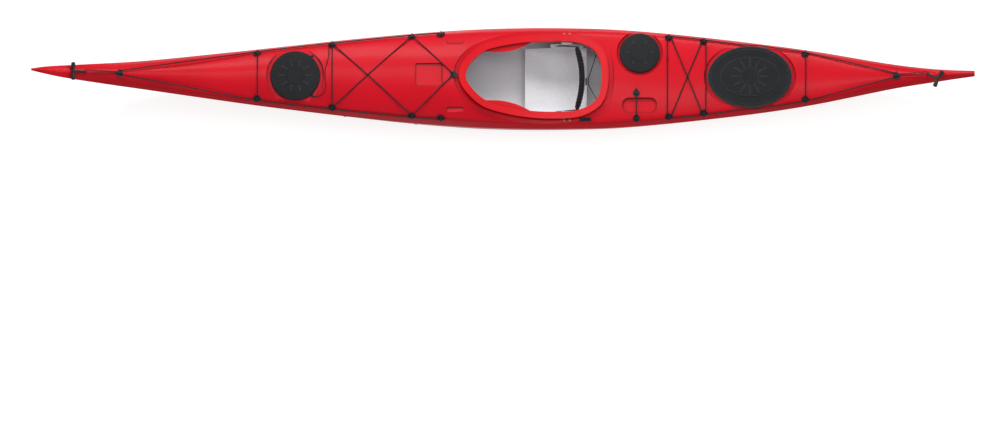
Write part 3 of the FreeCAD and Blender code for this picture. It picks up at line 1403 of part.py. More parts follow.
# Backband: pad, straps and buckle tilt together about the anchors on the hangers

BAND_SHARES = [(-1, 0.62, 0.55), (-0.93, 0.86, 0.8), (-0.8, 0.97, 0.95), (-0.45, 1, 1), (0, 0.98, 1),
               (0.45, 1, 1), (0.8, 0.97, 0.95), (0.93, 0.86, 0.8), (1, 0.62, 0.55)]
band_middle_z = (v.backband_bottom + v.backband_top) / 2
band_half_height = (v.backband_top - v.backband_bottom) / 2


def band_section(share, tall, thick):
    """One upright section of the pad: lines and arcs, crowned front and back."""
    high = band_half_height * tall
    deep = v.backband_thickness / 2 * thick
    corner = min(v.backband_corner, 0.8 * deep)
    crown = v.backband_crown * thick
    slant = corner * (1 - math.sqrt(0.5))
    point = [(-deep, corner - high), (-deep - crown, 0), (-deep, high - corner), (slant - deep, high - slant),
             (corner - deep, high), (deep - corner, high), (deep - slant, high - slant), (deep, high - corner),
             (deep + crown, 0), (deep, corner - high), (deep - slant, slant - high), (deep - corner, -high),
             (corner - deep, -high), (slant - deep, slant - high)]
    points = [Vector(x, 0, z) for x, z in point]
    edges = [Part.Arc(*points[0:3]).toShape(), Part.Arc(*points[2:5]).toShape(),
             Part.makeLine(points[4], points[5]), Part.Arc(*points[5:8]).toShape(),
             Part.Arc(*points[7:10]).toShape(), Part.Arc(*points[9:12]).toShape(),
             Part.makeLine(points[11], points[12]), Part.Arc(points[12], points[13], points[0]).toShape()]
    wire = Part.Wire(edges)
    slope = 2 * share * v.backband_bow / v.backband_half_width
    x = v.backband_x + v.backband_bow * (0.5 - share * share)
    wire.Placement = Placement(Vector(x, share * v.backband_half_width, band_middle_z),
                               Rotation(Vector(0, 0, 1), math.degrees(math.atan(slope))))
    return wire


pad = Part.makeLoft([band_section(*row) for row in BAND_SHARES], True, False)
feature("backband_pad", pad)
straps = []
anchors = []
for side in (1, -1):
    anchor = Vector(v.strap_anchor_x, side * (inner_y - v.joint_gap - v.strap_gap - v.strap_thickness / 2),
                    v.strap_anchor_z)
    pad_end = Vector(v.backband_x - v.backband_bow / 2, side * (v.backband_half_width + v.strap_end_gap),
                     band_middle_z)
    run = pad_end - anchor
    strap = Part.makeBox(run.Length + v.anchor_radius * 2, v.strap_thickness, v.strap_width,
                         Vector(-v.anchor_radius, -v.strap_thickness / 2, -v.strap_width / 2))
    across = Vector(0, 1, 0)
    strap.Placement = Placement(anchor, Rotation(run, across, run.cross(across), "XZY"))
    pin_hole = Part.makeCylinder(v.anchor_shank_radius + v.running_clearance, 2 * v.cut_overrun,
                                 Vector(v.strap_anchor_x, side * (inner_y - v.cut_overrun / 2), v.strap_anchor_z),
                                 Vector(0, side, 0))
    pin_hole.translate(Vector(0, -side * v.cut_overrun / 2, 0))
    straps.append(strap.cut(pin_hole))
    head_y = inner_y - 2 * v.joint_gap - 2 * v.strap_gap - v.strap_thickness - v.anchor_thickness
    head = Part.makeCylinder(v.anchor_radius, v.anchor_thickness,
                             Vector(v.strap_anchor_x, side * head_y, v.strap_anchor_z), Vector(0, side, 0))
    shank_end = outer_y + v.joint_gap + v.anchor_nut_thickness
    shank = Part.makeCylinder(v.anchor_shank_radius, shank_end - head_y,
                              Vector(v.strap_anchor_x, side * head_y, v.strap_anchor_z), Vector(0, side, 0))
    nut = Part.makeCylinder(v.anchor_radius, v.anchor_nut_thickness,
                            Vector(v.strap_anchor_x, side * (outer_y + v.joint_gap), v.strap_anchor_z),
                            Vector(0, side, 0))
    anchors.append(head.fuse([shank, nut]))
feature("backband_straps", Part.makeCompound(straps))
feature("backband_anchors", Part.makeCompound(anchors))
buckle_x = v.backband_x + v.backband_bow / 2 + v.backband_thickness / 2 + v.backband_crown + v.joint_gap
buckle = rounded_box(v.buckle_length, v.buckle_width, v.buckle_length / 3, -v.buckle_height / 2,
                     v.buckle_height / 2, 0, 0)
slot_box = Part.makeBox(v.buckle_length * 2, v.buckle_slot_width, v.buckle_slot_height,
                        Vector(-v.buckle_length, -v.buckle_slot_width / 2, -v.buckle_slot_height / 2))
buckle = buckle.cut([slot_box.translated(Vector(0, 0, step * v.buckle_height / 4)) for step in (-1, 0, 1)])
feature("backband_buckle", buckle, Placement(Vector(buckle_x + v.buckle_length / 2, v.buckle_y, v.buckle_z),
                                             Rotation()))
cord_back = buckle_x + v.buckle_length + v.backband_cord_radius + v.buckle_cord_gap
cord_route = [Vector(v.backband_cord_x, v.backband_cord_y, v.backband_cord_z),
              Vector(cord_back, v.buckle_y + v.buckle_width / 2, v.buckle_z),
              Vector(cord_back, v.buckle_y - v.buckle_width / 2, v.buckle_z),
              Vector(v.backband_cord_x, -v.backband_cord_y, v.backband_cord_z)]
feature("backband_cord", cord(cord_route, v.backband_cord_radius, v.cord_turn))

# Foot braces

rail_half = (v.foot_rear_bolt_x - v.foot_front_bolt_x) / 2
rail_body = design_body("foot_rail_model")
rail_sketch = sketch_on(rail_body, "foot_rail_outline", "YZ_Plane")
half_rail = v.foot_rail_height / 2
draw_outline(rail_sketch, [(-v.foot_rail_depth, -half_rail), (0, -half_rail), (0, half_rail),
                           (-v.foot_rail_depth, half_rail)])
pad_of(rail_body, rail_sketch, "Sizes.foot_rear_bolt_x - Sizes.foot_front_bolt_x + 2 * Sizes.foot_rail_overhang",
       both_ways=True)
groove_sketch = sketch_on(rail_body, "foot_groove_outline", "YZ_Plane")
half_groove = v.foot_rail_groove / 2
draw_outline(groove_sketch, [(-v.foot_rail_depth, -half_groove), (v.foot_rail_groove_depth - v.foot_rail_depth, -half_groove),
                             (v.foot_rail_groove_depth - v.foot_rail_depth, half_groove),
                             (-v.foot_rail_depth, half_groove)])
pocket_of(rail_body, groove_sketch, "Sizes.foot_rear_bolt_x - Sizes.foot_front_bolt_x - 2 * Sizes.foot_groove_end "
          "+ 2 * Sizes.foot_rail_overhang", both_ways=True)

pedal_body = design_body("foot_pedal_model")
front_y = -v.foot_rail_depth - v.pedal_gap
tongue_half = half_groove - v.pedal_gap
half_carrier = v.pedal_carrier_height / 2
carrier_sketch = sketch_on(pedal_body, "pedal_carrier_outline", "YZ_Plane")
draw_outline(carrier_sketch, [(front_y - v.pedal_carrier_depth, -half_carrier), (front_y, -half_carrier),
                              (front_y, -tongue_half), (front_y + v.pedal_tongue_depth, -tongue_half),
                              (front_y + v.pedal_tongue_depth, tongue_half), (front_y, tongue_half),
                              (front_y, half_carrier), (front_y - v.pedal_carrier_depth, half_carrier)])
pad_of(pedal_body, carrier_sketch, "Sizes.pedal_carrier_length", both_ways=True)
plate_outline = sketch_on(pedal_body, "pedal_plate_outline", "YZ_Plane")
half_plate = v.pedal_height / 2
chamfer = v.pedal_width * 0.25
inboard_y = front_y - v.pedal_width
draw_outline(plate_outline, [(inboard_y, chamfer - half_plate), (inboard_y + chamfer, -half_plate),
                             (front_y - chamfer, -half_plate), (front_y, chamfer - half_plate),
                             (front_y, half_plate - chamfer), (front_y - chamfer, half_plate),
                             (inboard_y + chamfer, half_plate), (inboard_y, half_plate - chamfer)])
pad_of(pedal_body, plate_outline, "Sizes.pedal_thickness", both_ways=True)
ribs_outline = sketch_on(pedal_body, "pedal_ribs_outline", "YZ_Plane")
for step in (-3, -2, 2, 3):
    low = step * v.pedal_rib_spacing - v.pedal_rib_height / 2
    draw_outline(ribs_outline, [(inboard_y + chamfer, low), (front_y - chamfer, low),
                                (front_y - chamfer, low + v.pedal_rib_height),
                                (inboard_y + chamfer, low + v.pedal_rib_height)])
pad_of(pedal_body, ribs_outline, "Sizes.pedal_thickness + 2 * Sizes.pedal_rib_depth", both_ways=True)
doc.recompute()

foot_bolts, spacers, foot_holes = [], [], []
rail_places = {}
inner_breadth = [side_at(x, v.foot_rail_z, inner) for x in (v.foot_front_bolt_x, v.foot_rear_bolt_x)]
for side, side_name in ((-1, "port"), (1, "starboard")):
    forward = Vector(v.foot_front_bolt_x, side * inner_breadth[0], v.foot_rail_z)
    rearward = Vector(v.foot_rear_bolt_x, side * inner_breadth[1], v.foot_rail_z)
    run = (rearward - forward) * side
    outboard = Vector(0, 0, 1).cross(run).normalize()
    middle = (forward + rearward) * 0.5 - outboard * (v.foot_spacer + v.joint_gap)
    place = Placement(middle, Rotation(run, outboard, Vector(0, 0, 1), "XYZ"))
    rail_places[side_name] = place
    rail = rail_body.Shape.transformed(place.toMatrix(), copy=True)
    span = run.Length / 2
    holes = []
    for step in (-span, span):
        along = place.multiply(Placement(Vector(step, 0, 0), Rotation(Vector(1, 0, 0), -90)))
        spacer = Part.makeCylinder(v.foot_spacer_radius, 2 * v.foot_spacer, Vector(0, 0, v.joint_gap))
        hole = Part.makeCylinder(v.foot_bolt_radius + v.running_clearance, 3 * v.cut_overrun,
                                 Vector(0, 0, -v.foot_rail_depth - v.joint_gap))
        head = Part.makeCylinder(v.foot_bolt_head_radius, v.foot_spacer + v.hull_wall + v.foot_bolt_head_height)
        shank = Part.makeCylinder(v.foot_bolt_radius, v.foot_rail_depth + v.foot_spacer + v.hull_wall
                                  + v.foot_bolt_head_height, Vector(0, 0, -v.foot_rail_depth))
        spacer, hole, head, shank = [shape.transformed(along.toMatrix(), copy=True)
                                     for shape in (spacer, hole, head, shank)]
        holes.append(hole)
        spacers.append(spacer.common(bonded).cut(hole))
        foot_bolts.append(head.cut(outer).fuse(shank))
    foot_holes += holes
    feature("foot_rail_" + side_name, rail.cut(holes))
    feature("foot_pedal_" + side_name, pedal_body.Shape.copy(), place)
feature("foot_rail_spacers", Part.makeCompound(spacers))
feature("foot_rail_bolts", Part.makeCompound(foot_bolts))
hull = hull.cut(foot_holes)

# Skeg: box through the keel, blade, pivot pin, gland, cable and slider

pivot = Vector(v.skeg_pivot_x, 0, pivot_z)
blade_body = design_body("skeg_blade_model")
blade_sketch = sketch_on(blade_body, "skeg_blade_outline", "XZ_Plane")
nose, length, tip = v.skeg_nose, v.skeg_length, v.skeg_tip_radius
tip_middle = Vector(math.sqrt((length - tip) ** 2 - (nose - tip) ** 2), tip - nose, 0)
tip_meet = tip_middle * (length / (length - tip))
corner = Vector(math.sqrt(length ** 2 - v.skeg_rear_height ** 2), v.skeg_rear_height, 0)
middle_angle = (math.atan2(corner.y, corner.x) + math.atan2(tip_meet.y, tip_meet.x)) / 2
lower_turn = (math.atan2(tip_meet.y - tip_middle.y, tip_meet.x - tip_middle.x) - math.pi / 2) / 2
outline = [Part.LineSegment(Vector(0, -nose, 0), Vector(tip_middle.x, -nose, 0)),
           Part.Arc(Vector(tip_middle.x, -nose, 0),
                    tip_middle + Vector(math.cos(lower_turn), math.sin(lower_turn), 0) * tip, tip_meet),
           Part.Arc(tip_meet, Vector(math.cos(middle_angle), math.sin(middle_angle), 0) * length, corner),
           Part.LineSegment(corner, Vector(0, nose, 0)),
           Part.Arc(Vector(0, nose, 0), Vector(-nose, 0, 0), Vector(0, -nose, 0))]
for edge in outline:
    blade_sketch.addGeometry(edge, False)
pad_of(blade_body, blade_sketch, "Sizes.skeg_thickness", both_ways=True)
pivot_sketch = sketch_on(blade_body, "skeg_pivot_outline", "XZ_Plane")
draw_circle(pivot_sketch, "Sizes.skeg_pin_radius + Sizes.running_clearance")
pocket_of(blade_body, pivot_sketch, "Sizes.skeg_thickness * 2", both_ways=True)
blade_body.Placement = Placement(pivot, Rotation(Vector(0, 1, 0), v.skeg_angle))
keep(blade_body, "skeg_blade")


def skeg_prism(grow, width):
    """The box's side outline grown by a wall and padded to a width about the centre line."""
    front = v.skeg_pivot_x - v.skeg_nose - v.skeg_box_margin - grow
    back = v.skeg_pivot_x + v.skeg_length + v.skeg_box_margin + grow
    corners = [(front, -v.hull_height), (front, pivot_z + v.skeg_nose + v.skeg_box_margin + grow),
               (back, v.skeg_box_top + grow), (back, -v.hull_height)]
    side_face = Part.Face(Part.makePolygon([Vector(x, -width / 2, z) for x, z in corners + corners[:1]]))
    return side_face.extrude(Vector(0, width, 0))


inside_width = v.skeg_thickness + 2 * v.skeg_side_gap
outside_width = inside_width + 2 * v.skeg_box_wall
box_outside = skeg_prism(v.skeg_box_wall, outside_width)
pin_hole = Part.makeCylinder(v.skeg_pin_radius + v.running_clearance, 2 * outside_width,
                             pivot - Vector(0, outside_width, 0), Vector(0, 1, 0))
cable_hole = Part.makeCylinder(v.skeg_cable_radius + v.joint_gap, 4 * v.skeg_box_wall,
                               Vector(box_front_x - v.skeg_box_wall, 0, cable_z), Vector(1, 0, 0))
box = box_outside.common(outer).cut([skeg_prism(0, inside_width), pin_hole, cable_hole])
feature("skeg_box", box)
hull = hull.cut(box_outside)
feature("skeg_pivot_pin", Part.makeCylinder(v.skeg_pin_radius, outside_width, pivot - Vector(0, outside_width / 2, 0),
                                            Vector(0, 1, 0)))
gland = Part.makeCylinder(v.skeg_gland_radius, v.skeg_gland_length, Vector(gland_front, 0, cable_z), Vector(1, 0, 0))
cable_end = v.skeg_pivot_x - math.sqrt(nose ** 2 - (cable_z - pivot_z) ** 2) - 2 * v.joint_gap - v.skeg_cable_radius
cable_route = housing_route + [Vector(cable_end, 0, cable_z)]
cable_space = cord(cable_route, v.skeg_cable_radius + v.joint_gap)
feature("skeg_cable_gland", gland.cut(cable_space))
feature("skeg_cable_housing", housing_outside.cut(cable_space))
feature("skeg_cable", cord(cable_route, v.skeg_cable_radius))

track = rounded_box(slider_body_length, slider_body_width, v.slider_lip_reach, -v.slider_depth, v.slider_lip, 0, 0)
lip = rounded_box(v.slider_length, v.slider_width, v.slider_lip_reach, 0, v.slider_lip, 0, 0)
slot = rounded_box(slider_body_length - 2 * v.slider_end_wall, v.slider_slot, v.slider_slot * 0.45,
                   v.slider_lip - v.slider_slot_depth, v.cut_overrun, 0, 0)
feature("skeg_slider_track", track.fuse(lip).cut(slot), slider_frame)
knob = rounded_box(v.slider_knob_length, v.slider_knob_width, v.slider_knob_width * 0.45,
                   v.slider_lip + v.joint_gap, v.slider_lip + v.slider_knob_height, 0, 0)
crest = [edge for edge in knob.Edges if edge.BoundBox.ZMin > v.slider_lip + v.slider_knob_height - v.joint_gap]
knob = knob.makeFillet(v.slider_knob_height / 4, crest)
stem = rounded_box(v.slider_stem_length, v.slider_slot - 2 * v.joint_gap, v.slider_slot * 0.4,
                   v.slider_lip + v.joint_gap - v.slider_slot_depth, v.slider_lip + v.slider_knob_height / 2, 0, 0)
at_rest = Placement(Vector(v.slider_rest, 0, 0), Rotation())
feature("skeg_slider_knob", knob.fuse(stem), slider_frame.multiply(at_rest))

feature("hull_shell", hull)
feature("deck_shell", deck)

# Checks, printed lengths and files

doc.recompute()
for thing in doc.Objects:
    if "Invalid" in thing.State or "Error" in thing.State:
        raise RuntimeError(thing.Name + " did not build")
for piece in pieces:
    if piece.Shape.isNull() or not piece.Shape.isValid() or not piece.Shape.Solids:
        raise RuntimeError(piece.Label + " has no valid shape")
print("cord lengths in mm:", [round(length) for length in cord_lengths])
os.makedirs("parts", exist_ok=True)
for piece in pieces:
    piece.Shape.exportStep("parts/%s.step" % piece.Label)
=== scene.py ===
import math
import bpy
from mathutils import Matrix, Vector


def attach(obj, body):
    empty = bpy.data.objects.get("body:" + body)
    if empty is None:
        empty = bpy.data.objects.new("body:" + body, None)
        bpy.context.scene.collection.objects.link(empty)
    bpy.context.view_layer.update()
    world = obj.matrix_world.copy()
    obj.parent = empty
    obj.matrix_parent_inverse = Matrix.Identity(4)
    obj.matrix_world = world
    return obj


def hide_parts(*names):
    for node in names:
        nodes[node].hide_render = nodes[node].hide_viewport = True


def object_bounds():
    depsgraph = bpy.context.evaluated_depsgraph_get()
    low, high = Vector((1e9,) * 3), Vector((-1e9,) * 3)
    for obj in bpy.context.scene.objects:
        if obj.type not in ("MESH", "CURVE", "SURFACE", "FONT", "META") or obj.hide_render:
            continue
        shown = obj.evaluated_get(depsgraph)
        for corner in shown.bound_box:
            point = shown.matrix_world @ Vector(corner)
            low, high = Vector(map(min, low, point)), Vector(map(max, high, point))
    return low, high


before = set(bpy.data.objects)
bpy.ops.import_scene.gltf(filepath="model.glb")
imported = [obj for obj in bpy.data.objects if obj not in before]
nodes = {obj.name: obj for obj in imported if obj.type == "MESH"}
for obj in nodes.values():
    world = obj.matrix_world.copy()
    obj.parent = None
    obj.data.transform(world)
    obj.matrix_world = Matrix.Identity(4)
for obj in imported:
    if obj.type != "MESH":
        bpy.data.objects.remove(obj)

cad_low, cad_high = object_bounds()

# Scale of the photograph and the place of the boat in it
METRES_PER_PIXEL = 0.00551
IMAGE_WIDTH = 1000
IMAGE_HEIGHT = 423
MIDSHIP_PIXEL_X = 502.9
KEEL_PIXEL_Y = 84.9
CAMERA_ELEVATION = 80.0
CAMERA_DISTANCE = 9.0
CAMERA_REACH = 100

# Colours, linear
DECK_RED = (0.62, 0.004, 0.015)
# Painted shade: the hull's red is the same gelcoat as the deck, made darker for the shade on the hull's
# sides
SHADED_HULL_RED = (0.55, 0.003, 0.011)
# Painted highlight: the coaming's red is the same gelcoat as the deck, made lighter for the light on its rim
LIT_RIM_RED = (0.69, 0.008, 0.016)
LAMINATE = (0.72, 0.72, 0.75)
SEAT_GREY = (0.76, 0.76, 0.79)
BOLT_METAL = (0.2, 0.16, 0.12)
RUBBER = (0.006, 0.0065, 0.0078)
BLACK_PLASTIC = (0.007, 0.0072, 0.0085)
CORD_BLACK = (0.007, 0.007, 0.009)
STEEL = (0.55, 0.56, 0.58)
ANODISED = (0.03, 0.032, 0.036)
FABRIC = (0.007, 0.007, 0.0085)

# Which faces of the shells are inside the boat
DECK_INSIDE_SLOPE = -0.12
HULL_AXIS_HEIGHT = 0.24
HULL_INSIDE_REACH = 1.85

# Painted shade in the corners of the gelcoat and a painted highlight on the sharp edges of the rubber
NEARNESS_SPAN = (0.45, 0.92)
CORNER_REACH = 0.016
CORNER_SHADE = (0.2, 0.12, 0.12)
EDGE_REACH = 0.0024
EDGE_HIGHLIGHT = (0.085, 0.088, 0.094)


# Material helpers


def material(name, colour, roughness, metallic=0.0, coat=0.0, specular=0.5):
    """A principled material and its tree, ready for detail."""
    made = bpy.data.materials.new(name)
    made.use_nodes = True
    tree = made.node_tree
    shader = tree.nodes["Principled BSDF"]
    shader.inputs["Base Color"].default_value = (*colour, 1)
    shader.inputs["Roughness"].default_value = roughness
    shader.inputs["Metallic"].default_value = metallic
    shader.inputs["Coat Weight"].default_value = coat
    shader.inputs["Specular IOR Level"].default_value = specular
    shader.inputs["Coat Roughness"].default_value = 0.12
    return made, tree, shader


def place_of(tree):
    return tree.nodes.new("ShaderNodeTexCoord").outputs["Object"]


def noise(tree, scale, detail=4.0, stretch=None):
    """A noise texture on object coordinates, in metres."""
    made = tree.nodes.new("ShaderNodeTexNoise")
    made.inputs["Scale"].default_value = scale
    made.inputs["Detail"].default_value = detail
    source = place_of(tree)
    if stretch is not None:
        mapping = tree.nodes.new("ShaderNodeMapping")
        mapping.inputs["Scale"].default_value = stretch
        tree.links.new(source, mapping.inputs["Vector"])
        source = mapping.outputs["Vector"]
    tree.links.new(source, made.inputs["Vector"])
    return made.outputs["Fac"]


def ramp(tree, value, low, high, start=0.3, end=0.7):
    """Turns a value into a colour between two colours."""
    made = tree.nodes.new("ShaderNodeValToRGB")
    made.color_ramp.elements[0].position = start
    made.color_ramp.elements[1].position = end
    made.color_ramp.elements[0].color = (*low, 1)
    made.color_ramp.elements[1].color = (*high, 1)
    tree.links.new(value, made.inputs["Fac"])
    return made.outputs["Color"]


def spread(tree, value, low, high):
    made = tree.nodes.new("ShaderNodeMapRange")
    made.inputs["To Min"].default_value = low
    made.inputs["To Max"].default_value = high
    tree.links.new(value, made.inputs["Value"])
    return made.outputs["Result"]


def bump(tree, shader, value, distance, strength=0.3):
    made = tree.nodes.new("ShaderNodeBump")
    made.inputs["Strength"].default_value = strength
    made.inputs["Distance"].default_value = distance
    tree.links.new(value, made.inputs["Height"])
    tree.links.new(made.outputs["Normal"], shader.inputs["Normal"])


def shade(colour, factor):
    return tuple(channel * factor for channel in colour)


def maths(tree, operation, first, second=None, limit=None):
    """A maths node on one value and another value or a number."""
    made = tree.nodes.new("ShaderNodeMath")
    made.operation = operation
    tree.links.new(first, made.inputs[0])
    if second is not None:
        tree.links.new(second, made.inputs[1])
    if limit is not None:
        made.inputs[1].default_value = limit
    return made.outputs["Value"]


def vector_maths(tree, operation, first, result="Vector"):
    """A vector maths node on one vector; its second input is left to set or to link."""
    made = tree.nodes.new("ShaderNodeVectorMath")
    made.operation = operation
    tree.links.new(first, made.inputs[0])
    return made.inputs[1], made.outputs[result]


def part_of(tree, vector, axis):
    split = tree.nodes.new("ShaderNodeSeparateXYZ")
    tree.links.new(vector, split.inputs["Vector"])
    return split.outputs[axis]


def facing_down_mask(tree):
    """1 on faces that look down, which on the deck are those inside the boat."""
    geometry = tree.nodes.new("ShaderNodeNewGeometry")
    return maths(tree, "LESS_THAN", part_of(tree, geometry.outputs["Normal"], "Z"), limit=DECK_INSIDE_SLOPE)


def facing_axis_mask(tree):
    """1 on faces that look towards the boat's middle line, the inside of the hull between its solid ends."""
    geometry = tree.nodes.new("ShaderNodeNewGeometry")
    middle, offset = vector_maths(tree, "SUBTRACT", geometry.outputs["Position"])
    middle.default_value = (0, 0, HULL_AXIS_HEIGHT)
    kept, across = vector_maths(tree, "MULTIPLY", offset)
    kept.default_value = (0, 1, 1)
    normal, product = vector_maths(tree, "DOT_PRODUCT", across, "Value")
    tree.links.new(geometry.outputs["Normal"], normal)
    inward = maths(tree, "LESS_THAN", product, limit=0)
    along = maths(tree, "ABSOLUTE", part_of(tree, geometry.outputs["Position"], "X"))
    return maths(tree, "MULTIPLY", inward, maths(tree, "LESS_THAN", along, limit=HULL_INSIDE_REACH))


def mixed(tree, mask, outside, inside):
    made = tree.nodes.new("ShaderNodeMix")
    made.data_type = "RGBA"
    tree.links.new(mask, made.inputs["Factor"])
    tree.links.new(outside, made.inputs["A"])
    tree.links.new(inside, made.inputs["B"])
    return made.outputs["Result"]


def nearness(tree, distance, inside):
    """1 on open faces, less in corners, or less along sharp edges where it looks inwards."""
    made = tree.nodes.new("ShaderNodeAmbientOcclusion")
    made.inputs["Distance"].default_value = distance
    made.inside = inside
    made.only_local = True
    made.samples = 8
    return made.outputs["AO"]


def laid_over(tree, factor, low, high, base, blend):
    """Tints a colour where the factor is low; this paints shade into corners and highlights onto edges."""
    made = tree.nodes.new("ShaderNodeMix")
    made.data_type = "RGBA"
    made.blend_type = blend
    made.inputs["Factor"].default_value = 1.0
    tree.links.new(base, made.inputs["A"])
    tree.links.new(ramp(tree, factor, low, high, *NEARNESS_SPAN), made.inputs["B"])
    return made.outputs["Result"]


# Materials


def gelcoat(name, colour, inside_mask=None):
    """Glossy gelcoat, with bare laminate where a mask finds the inside."""
    made, tree, shader = material(name, colour, 0.3, coat=0.04, specular=0.1)
    clouds = noise(tree, 3.5, 3.0)
    outside = ramp(tree, clouds, shade(colour, 0.93), shade(colour, 1.05))
    if inside_mask is not None:
        grain = noise(tree, 60.0, 5.0)
        inside = ramp(tree, grain, shade(LAMINATE, 0.97), shade(LAMINATE, 1.02))
        outside = mixed(tree, inside_mask(tree), outside, inside)
    # Painted shade: the gelcoat's colour is darkened in its corners and grooves, where ambient occlusion
    # finds them
    corners = nearness(tree, CORNER_REACH, False)
    tree.links.new(laid_over(tree, corners, CORNER_SHADE, (1, 1, 1), outside, "MULTIPLY"),
                   shader.inputs["Base Color"])
    scuffs = noise(tree, 40.0, 6.0, (1.0, 6.0, 6.0))
    tree.links.new(spread(tree, scuffs, 0.24, 0.4), shader.inputs["Roughness"])
    bump(tree, shader, noise(tree, 260.0, 2.0), 0.0004, 0.08)
    return made


def laminate(name, colour):
    made, tree, shader = material(name, colour, 0.45)
    tree.links.new(ramp(tree, noise(tree, 55.0, 5.0), shade(colour, 0.96), shade(colour, 1.03)),
                   shader.inputs["Base Color"])
    bump(tree, shader, noise(tree, 420.0, 3.0), 0.0004, 0.1)
    return made


def rubber(name, colour):
    made, tree, shader = material(name, colour, 0.5, specular=0.14)
    dust = noise(tree, 14.0, 6.0)
    dusty = ramp(tree, dust, colour, shade(colour, 1.6))
    # Painted highlight: the rubber's colour is made lighter along its sharp rib edges, where inside ambient
    # occlusion finds them
    edges = nearness(tree, EDGE_REACH, True)
    tree.links.new(laid_over(tree, edges, EDGE_HIGHLIGHT, (0, 0, 0), dusty, "ADD"), shader.inputs["Base Color"])
    tree.links.new(spread(tree, noise(tree, 90.0, 4.0), 0.42, 0.66), shader.inputs["Roughness"])
    bump(tree, shader, noise(tree, 900.0, 3.0), 0.0004, 0.25)
    return made


def moulded_plastic(name, colour, roughness=0.42):
    made, tree, shader = material(name, colour, roughness, specular=0.22)
    mottled = ramp(tree, noise(tree, 120.0, 4.0), colour, shade(colour, 1.8))
    tree.links.new(mottled, shader.inputs["Base Color"])
    bump(tree, shader, noise(tree, 1500.0, 2.0), 0.0003, 0.2)
    return made


def metal(name, colour, roughness):
    made, tree, shader = material(name, colour, roughness, metallic=1.0)
    brushed = noise(tree, 600.0, 3.0, (0.1, 1.0, 1.0))
    tree.links.new(spread(tree, brushed, roughness * 0.8, roughness * 1.3), shader.inputs["Roughness"])
    tree.links.new(ramp(tree, brushed, shade(colour, 0.92), colour), shader.inputs["Base Color"])
    return made


def braid(name, colour):
    """Braided cord: fine crossing strands over the surface."""
    made, tree, shader = material(name, colour, 0.7, specular=0.2)
    strands = []
    for turn in (0.6, -0.6):
        wave = tree.nodes.new("ShaderNodeTexWave")
        wave.inputs["Scale"].default_value = 190.0
        wave.inputs["Distortion"].default_value = 0.6
        mapping = tree.nodes.new("ShaderNodeMapping")
        mapping.inputs["Rotation"].default_value = (turn, turn, turn)
        tree.links.new(place_of(tree), mapping.inputs["Vector"])
        tree.links.new(mapping.outputs["Vector"], wave.inputs["Vector"])
        strands.append(wave.outputs["Fac"])
    joined = maths(tree, "MAXIMUM", *strands)
    tree.links.new(ramp(tree, joined, colour, shade(colour, 2.2)), shader.inputs["Base Color"])
    bump(tree, shader, joined, 0.0008, 0.5)
    return made


def woven(name, colour):
    """Woven webbing and covering cloth."""
    made, tree, shader = material(name, colour, 0.85, specular=0.15)
    shader.inputs["Sheen Weight"].default_value = 0.06
    threads = []
    for axis in ("X", "Z"):
        wave = tree.nodes.new("ShaderNodeTexWave")
        wave.bands_direction = axis
        wave.inputs["Scale"].default_value = 240.0
        tree.links.new(place_of(tree), wave.inputs["Vector"])
        threads.append(wave.outputs["Fac"])
    joined = maths(tree, "MULTIPLY", *threads)
    tree.links.new(ramp(tree, joined, colour, shade(colour, 2.2), 0.1, 0.9), shader.inputs["Base Color"])
    bump(tree, shader, joined, 0.0006, 0.5)
    return made


deck_gelcoat = gelcoat("deck_gelcoat", DECK_RED, facing_down_mask)
hull_gelcoat = gelcoat("hull_gelcoat", SHADED_HULL_RED, facing_axis_mask)
trim_gelcoat = gelcoat("coaming_gelcoat", LIT_RIM_RED)
inside_laminate = laminate("inside_laminate", LAMINATE)
seat_laminate = laminate("seat_laminate", SEAT_GREY)
hatch_rubber = rubber("hatch_rubber", RUBBER)
fitting_plastic = moulded_plastic("fitting_plastic", BLACK_PLASTIC)
rim_plastic = moulded_plastic("rim_plastic", BLACK_PLASTIC, 0.5)
stainless = metal("stainless", STEEL, 0.3)
weathered_steel = metal("weathered_steel", BOLT_METAL, 0.5)
anodised = metal("anodised", ANODISED, 0.4)
deck_cord = braid("deck_cord", CORD_BLACK)
band_cloth = woven("band_cloth", FABRIC)

FINISHES = {
    "hull_shell": hull_gelcoat,
    "deck_shell": deck_gelcoat,
    "cockpit_coaming": trim_gelcoat,
    "seat_pan": seat_laminate,
    "foot_rail_port": anodised,
    "foot_rail_starboard": anodised,
}
GROUPS = [
    (inside_laminate, ["seam_tape", "front_bulkhead", "day_bulkhead", "rear_bulkhead", "seat_hangers",
                       "skeg_box"]),
    (hatch_rubber, ["front_hatch_cover", "day_hatch_cover", "rear_hatch_cover"]),
    (rim_plastic, ["front_hatch_rim", "day_hatch_rim", "rear_hatch_rim"]),
    (stainless, ["skeg_pivot_pin", "skeg_cable", "backband_anchors"]),
    (weathered_steel, ["seat_bolts", "fitting_screws", "foot_rail_bolts"]),
    (deck_cord, ["fore_deck_line", "aft_deck_line", "fore_cross_lines", "aft_cross_line", "fore_bungees",
                 "aft_bungee", "paddle_bungee", "line_knots", "bow_toggle_cord", "stern_toggle_cord",
                 "backband_cord", "front_hatch_tether"]),
    (band_cloth, ["backband_pad", "backband_straps"]),
]
for finish, names in GROUPS:
    for name in names:
        FINISHES[name] = finish
for name, thing in nodes.items():
    thing.data.materials.clear()
    thing.data.materials.append(FINISHES.get(name, fitting_plastic))

# Rounded edges on the mouldings

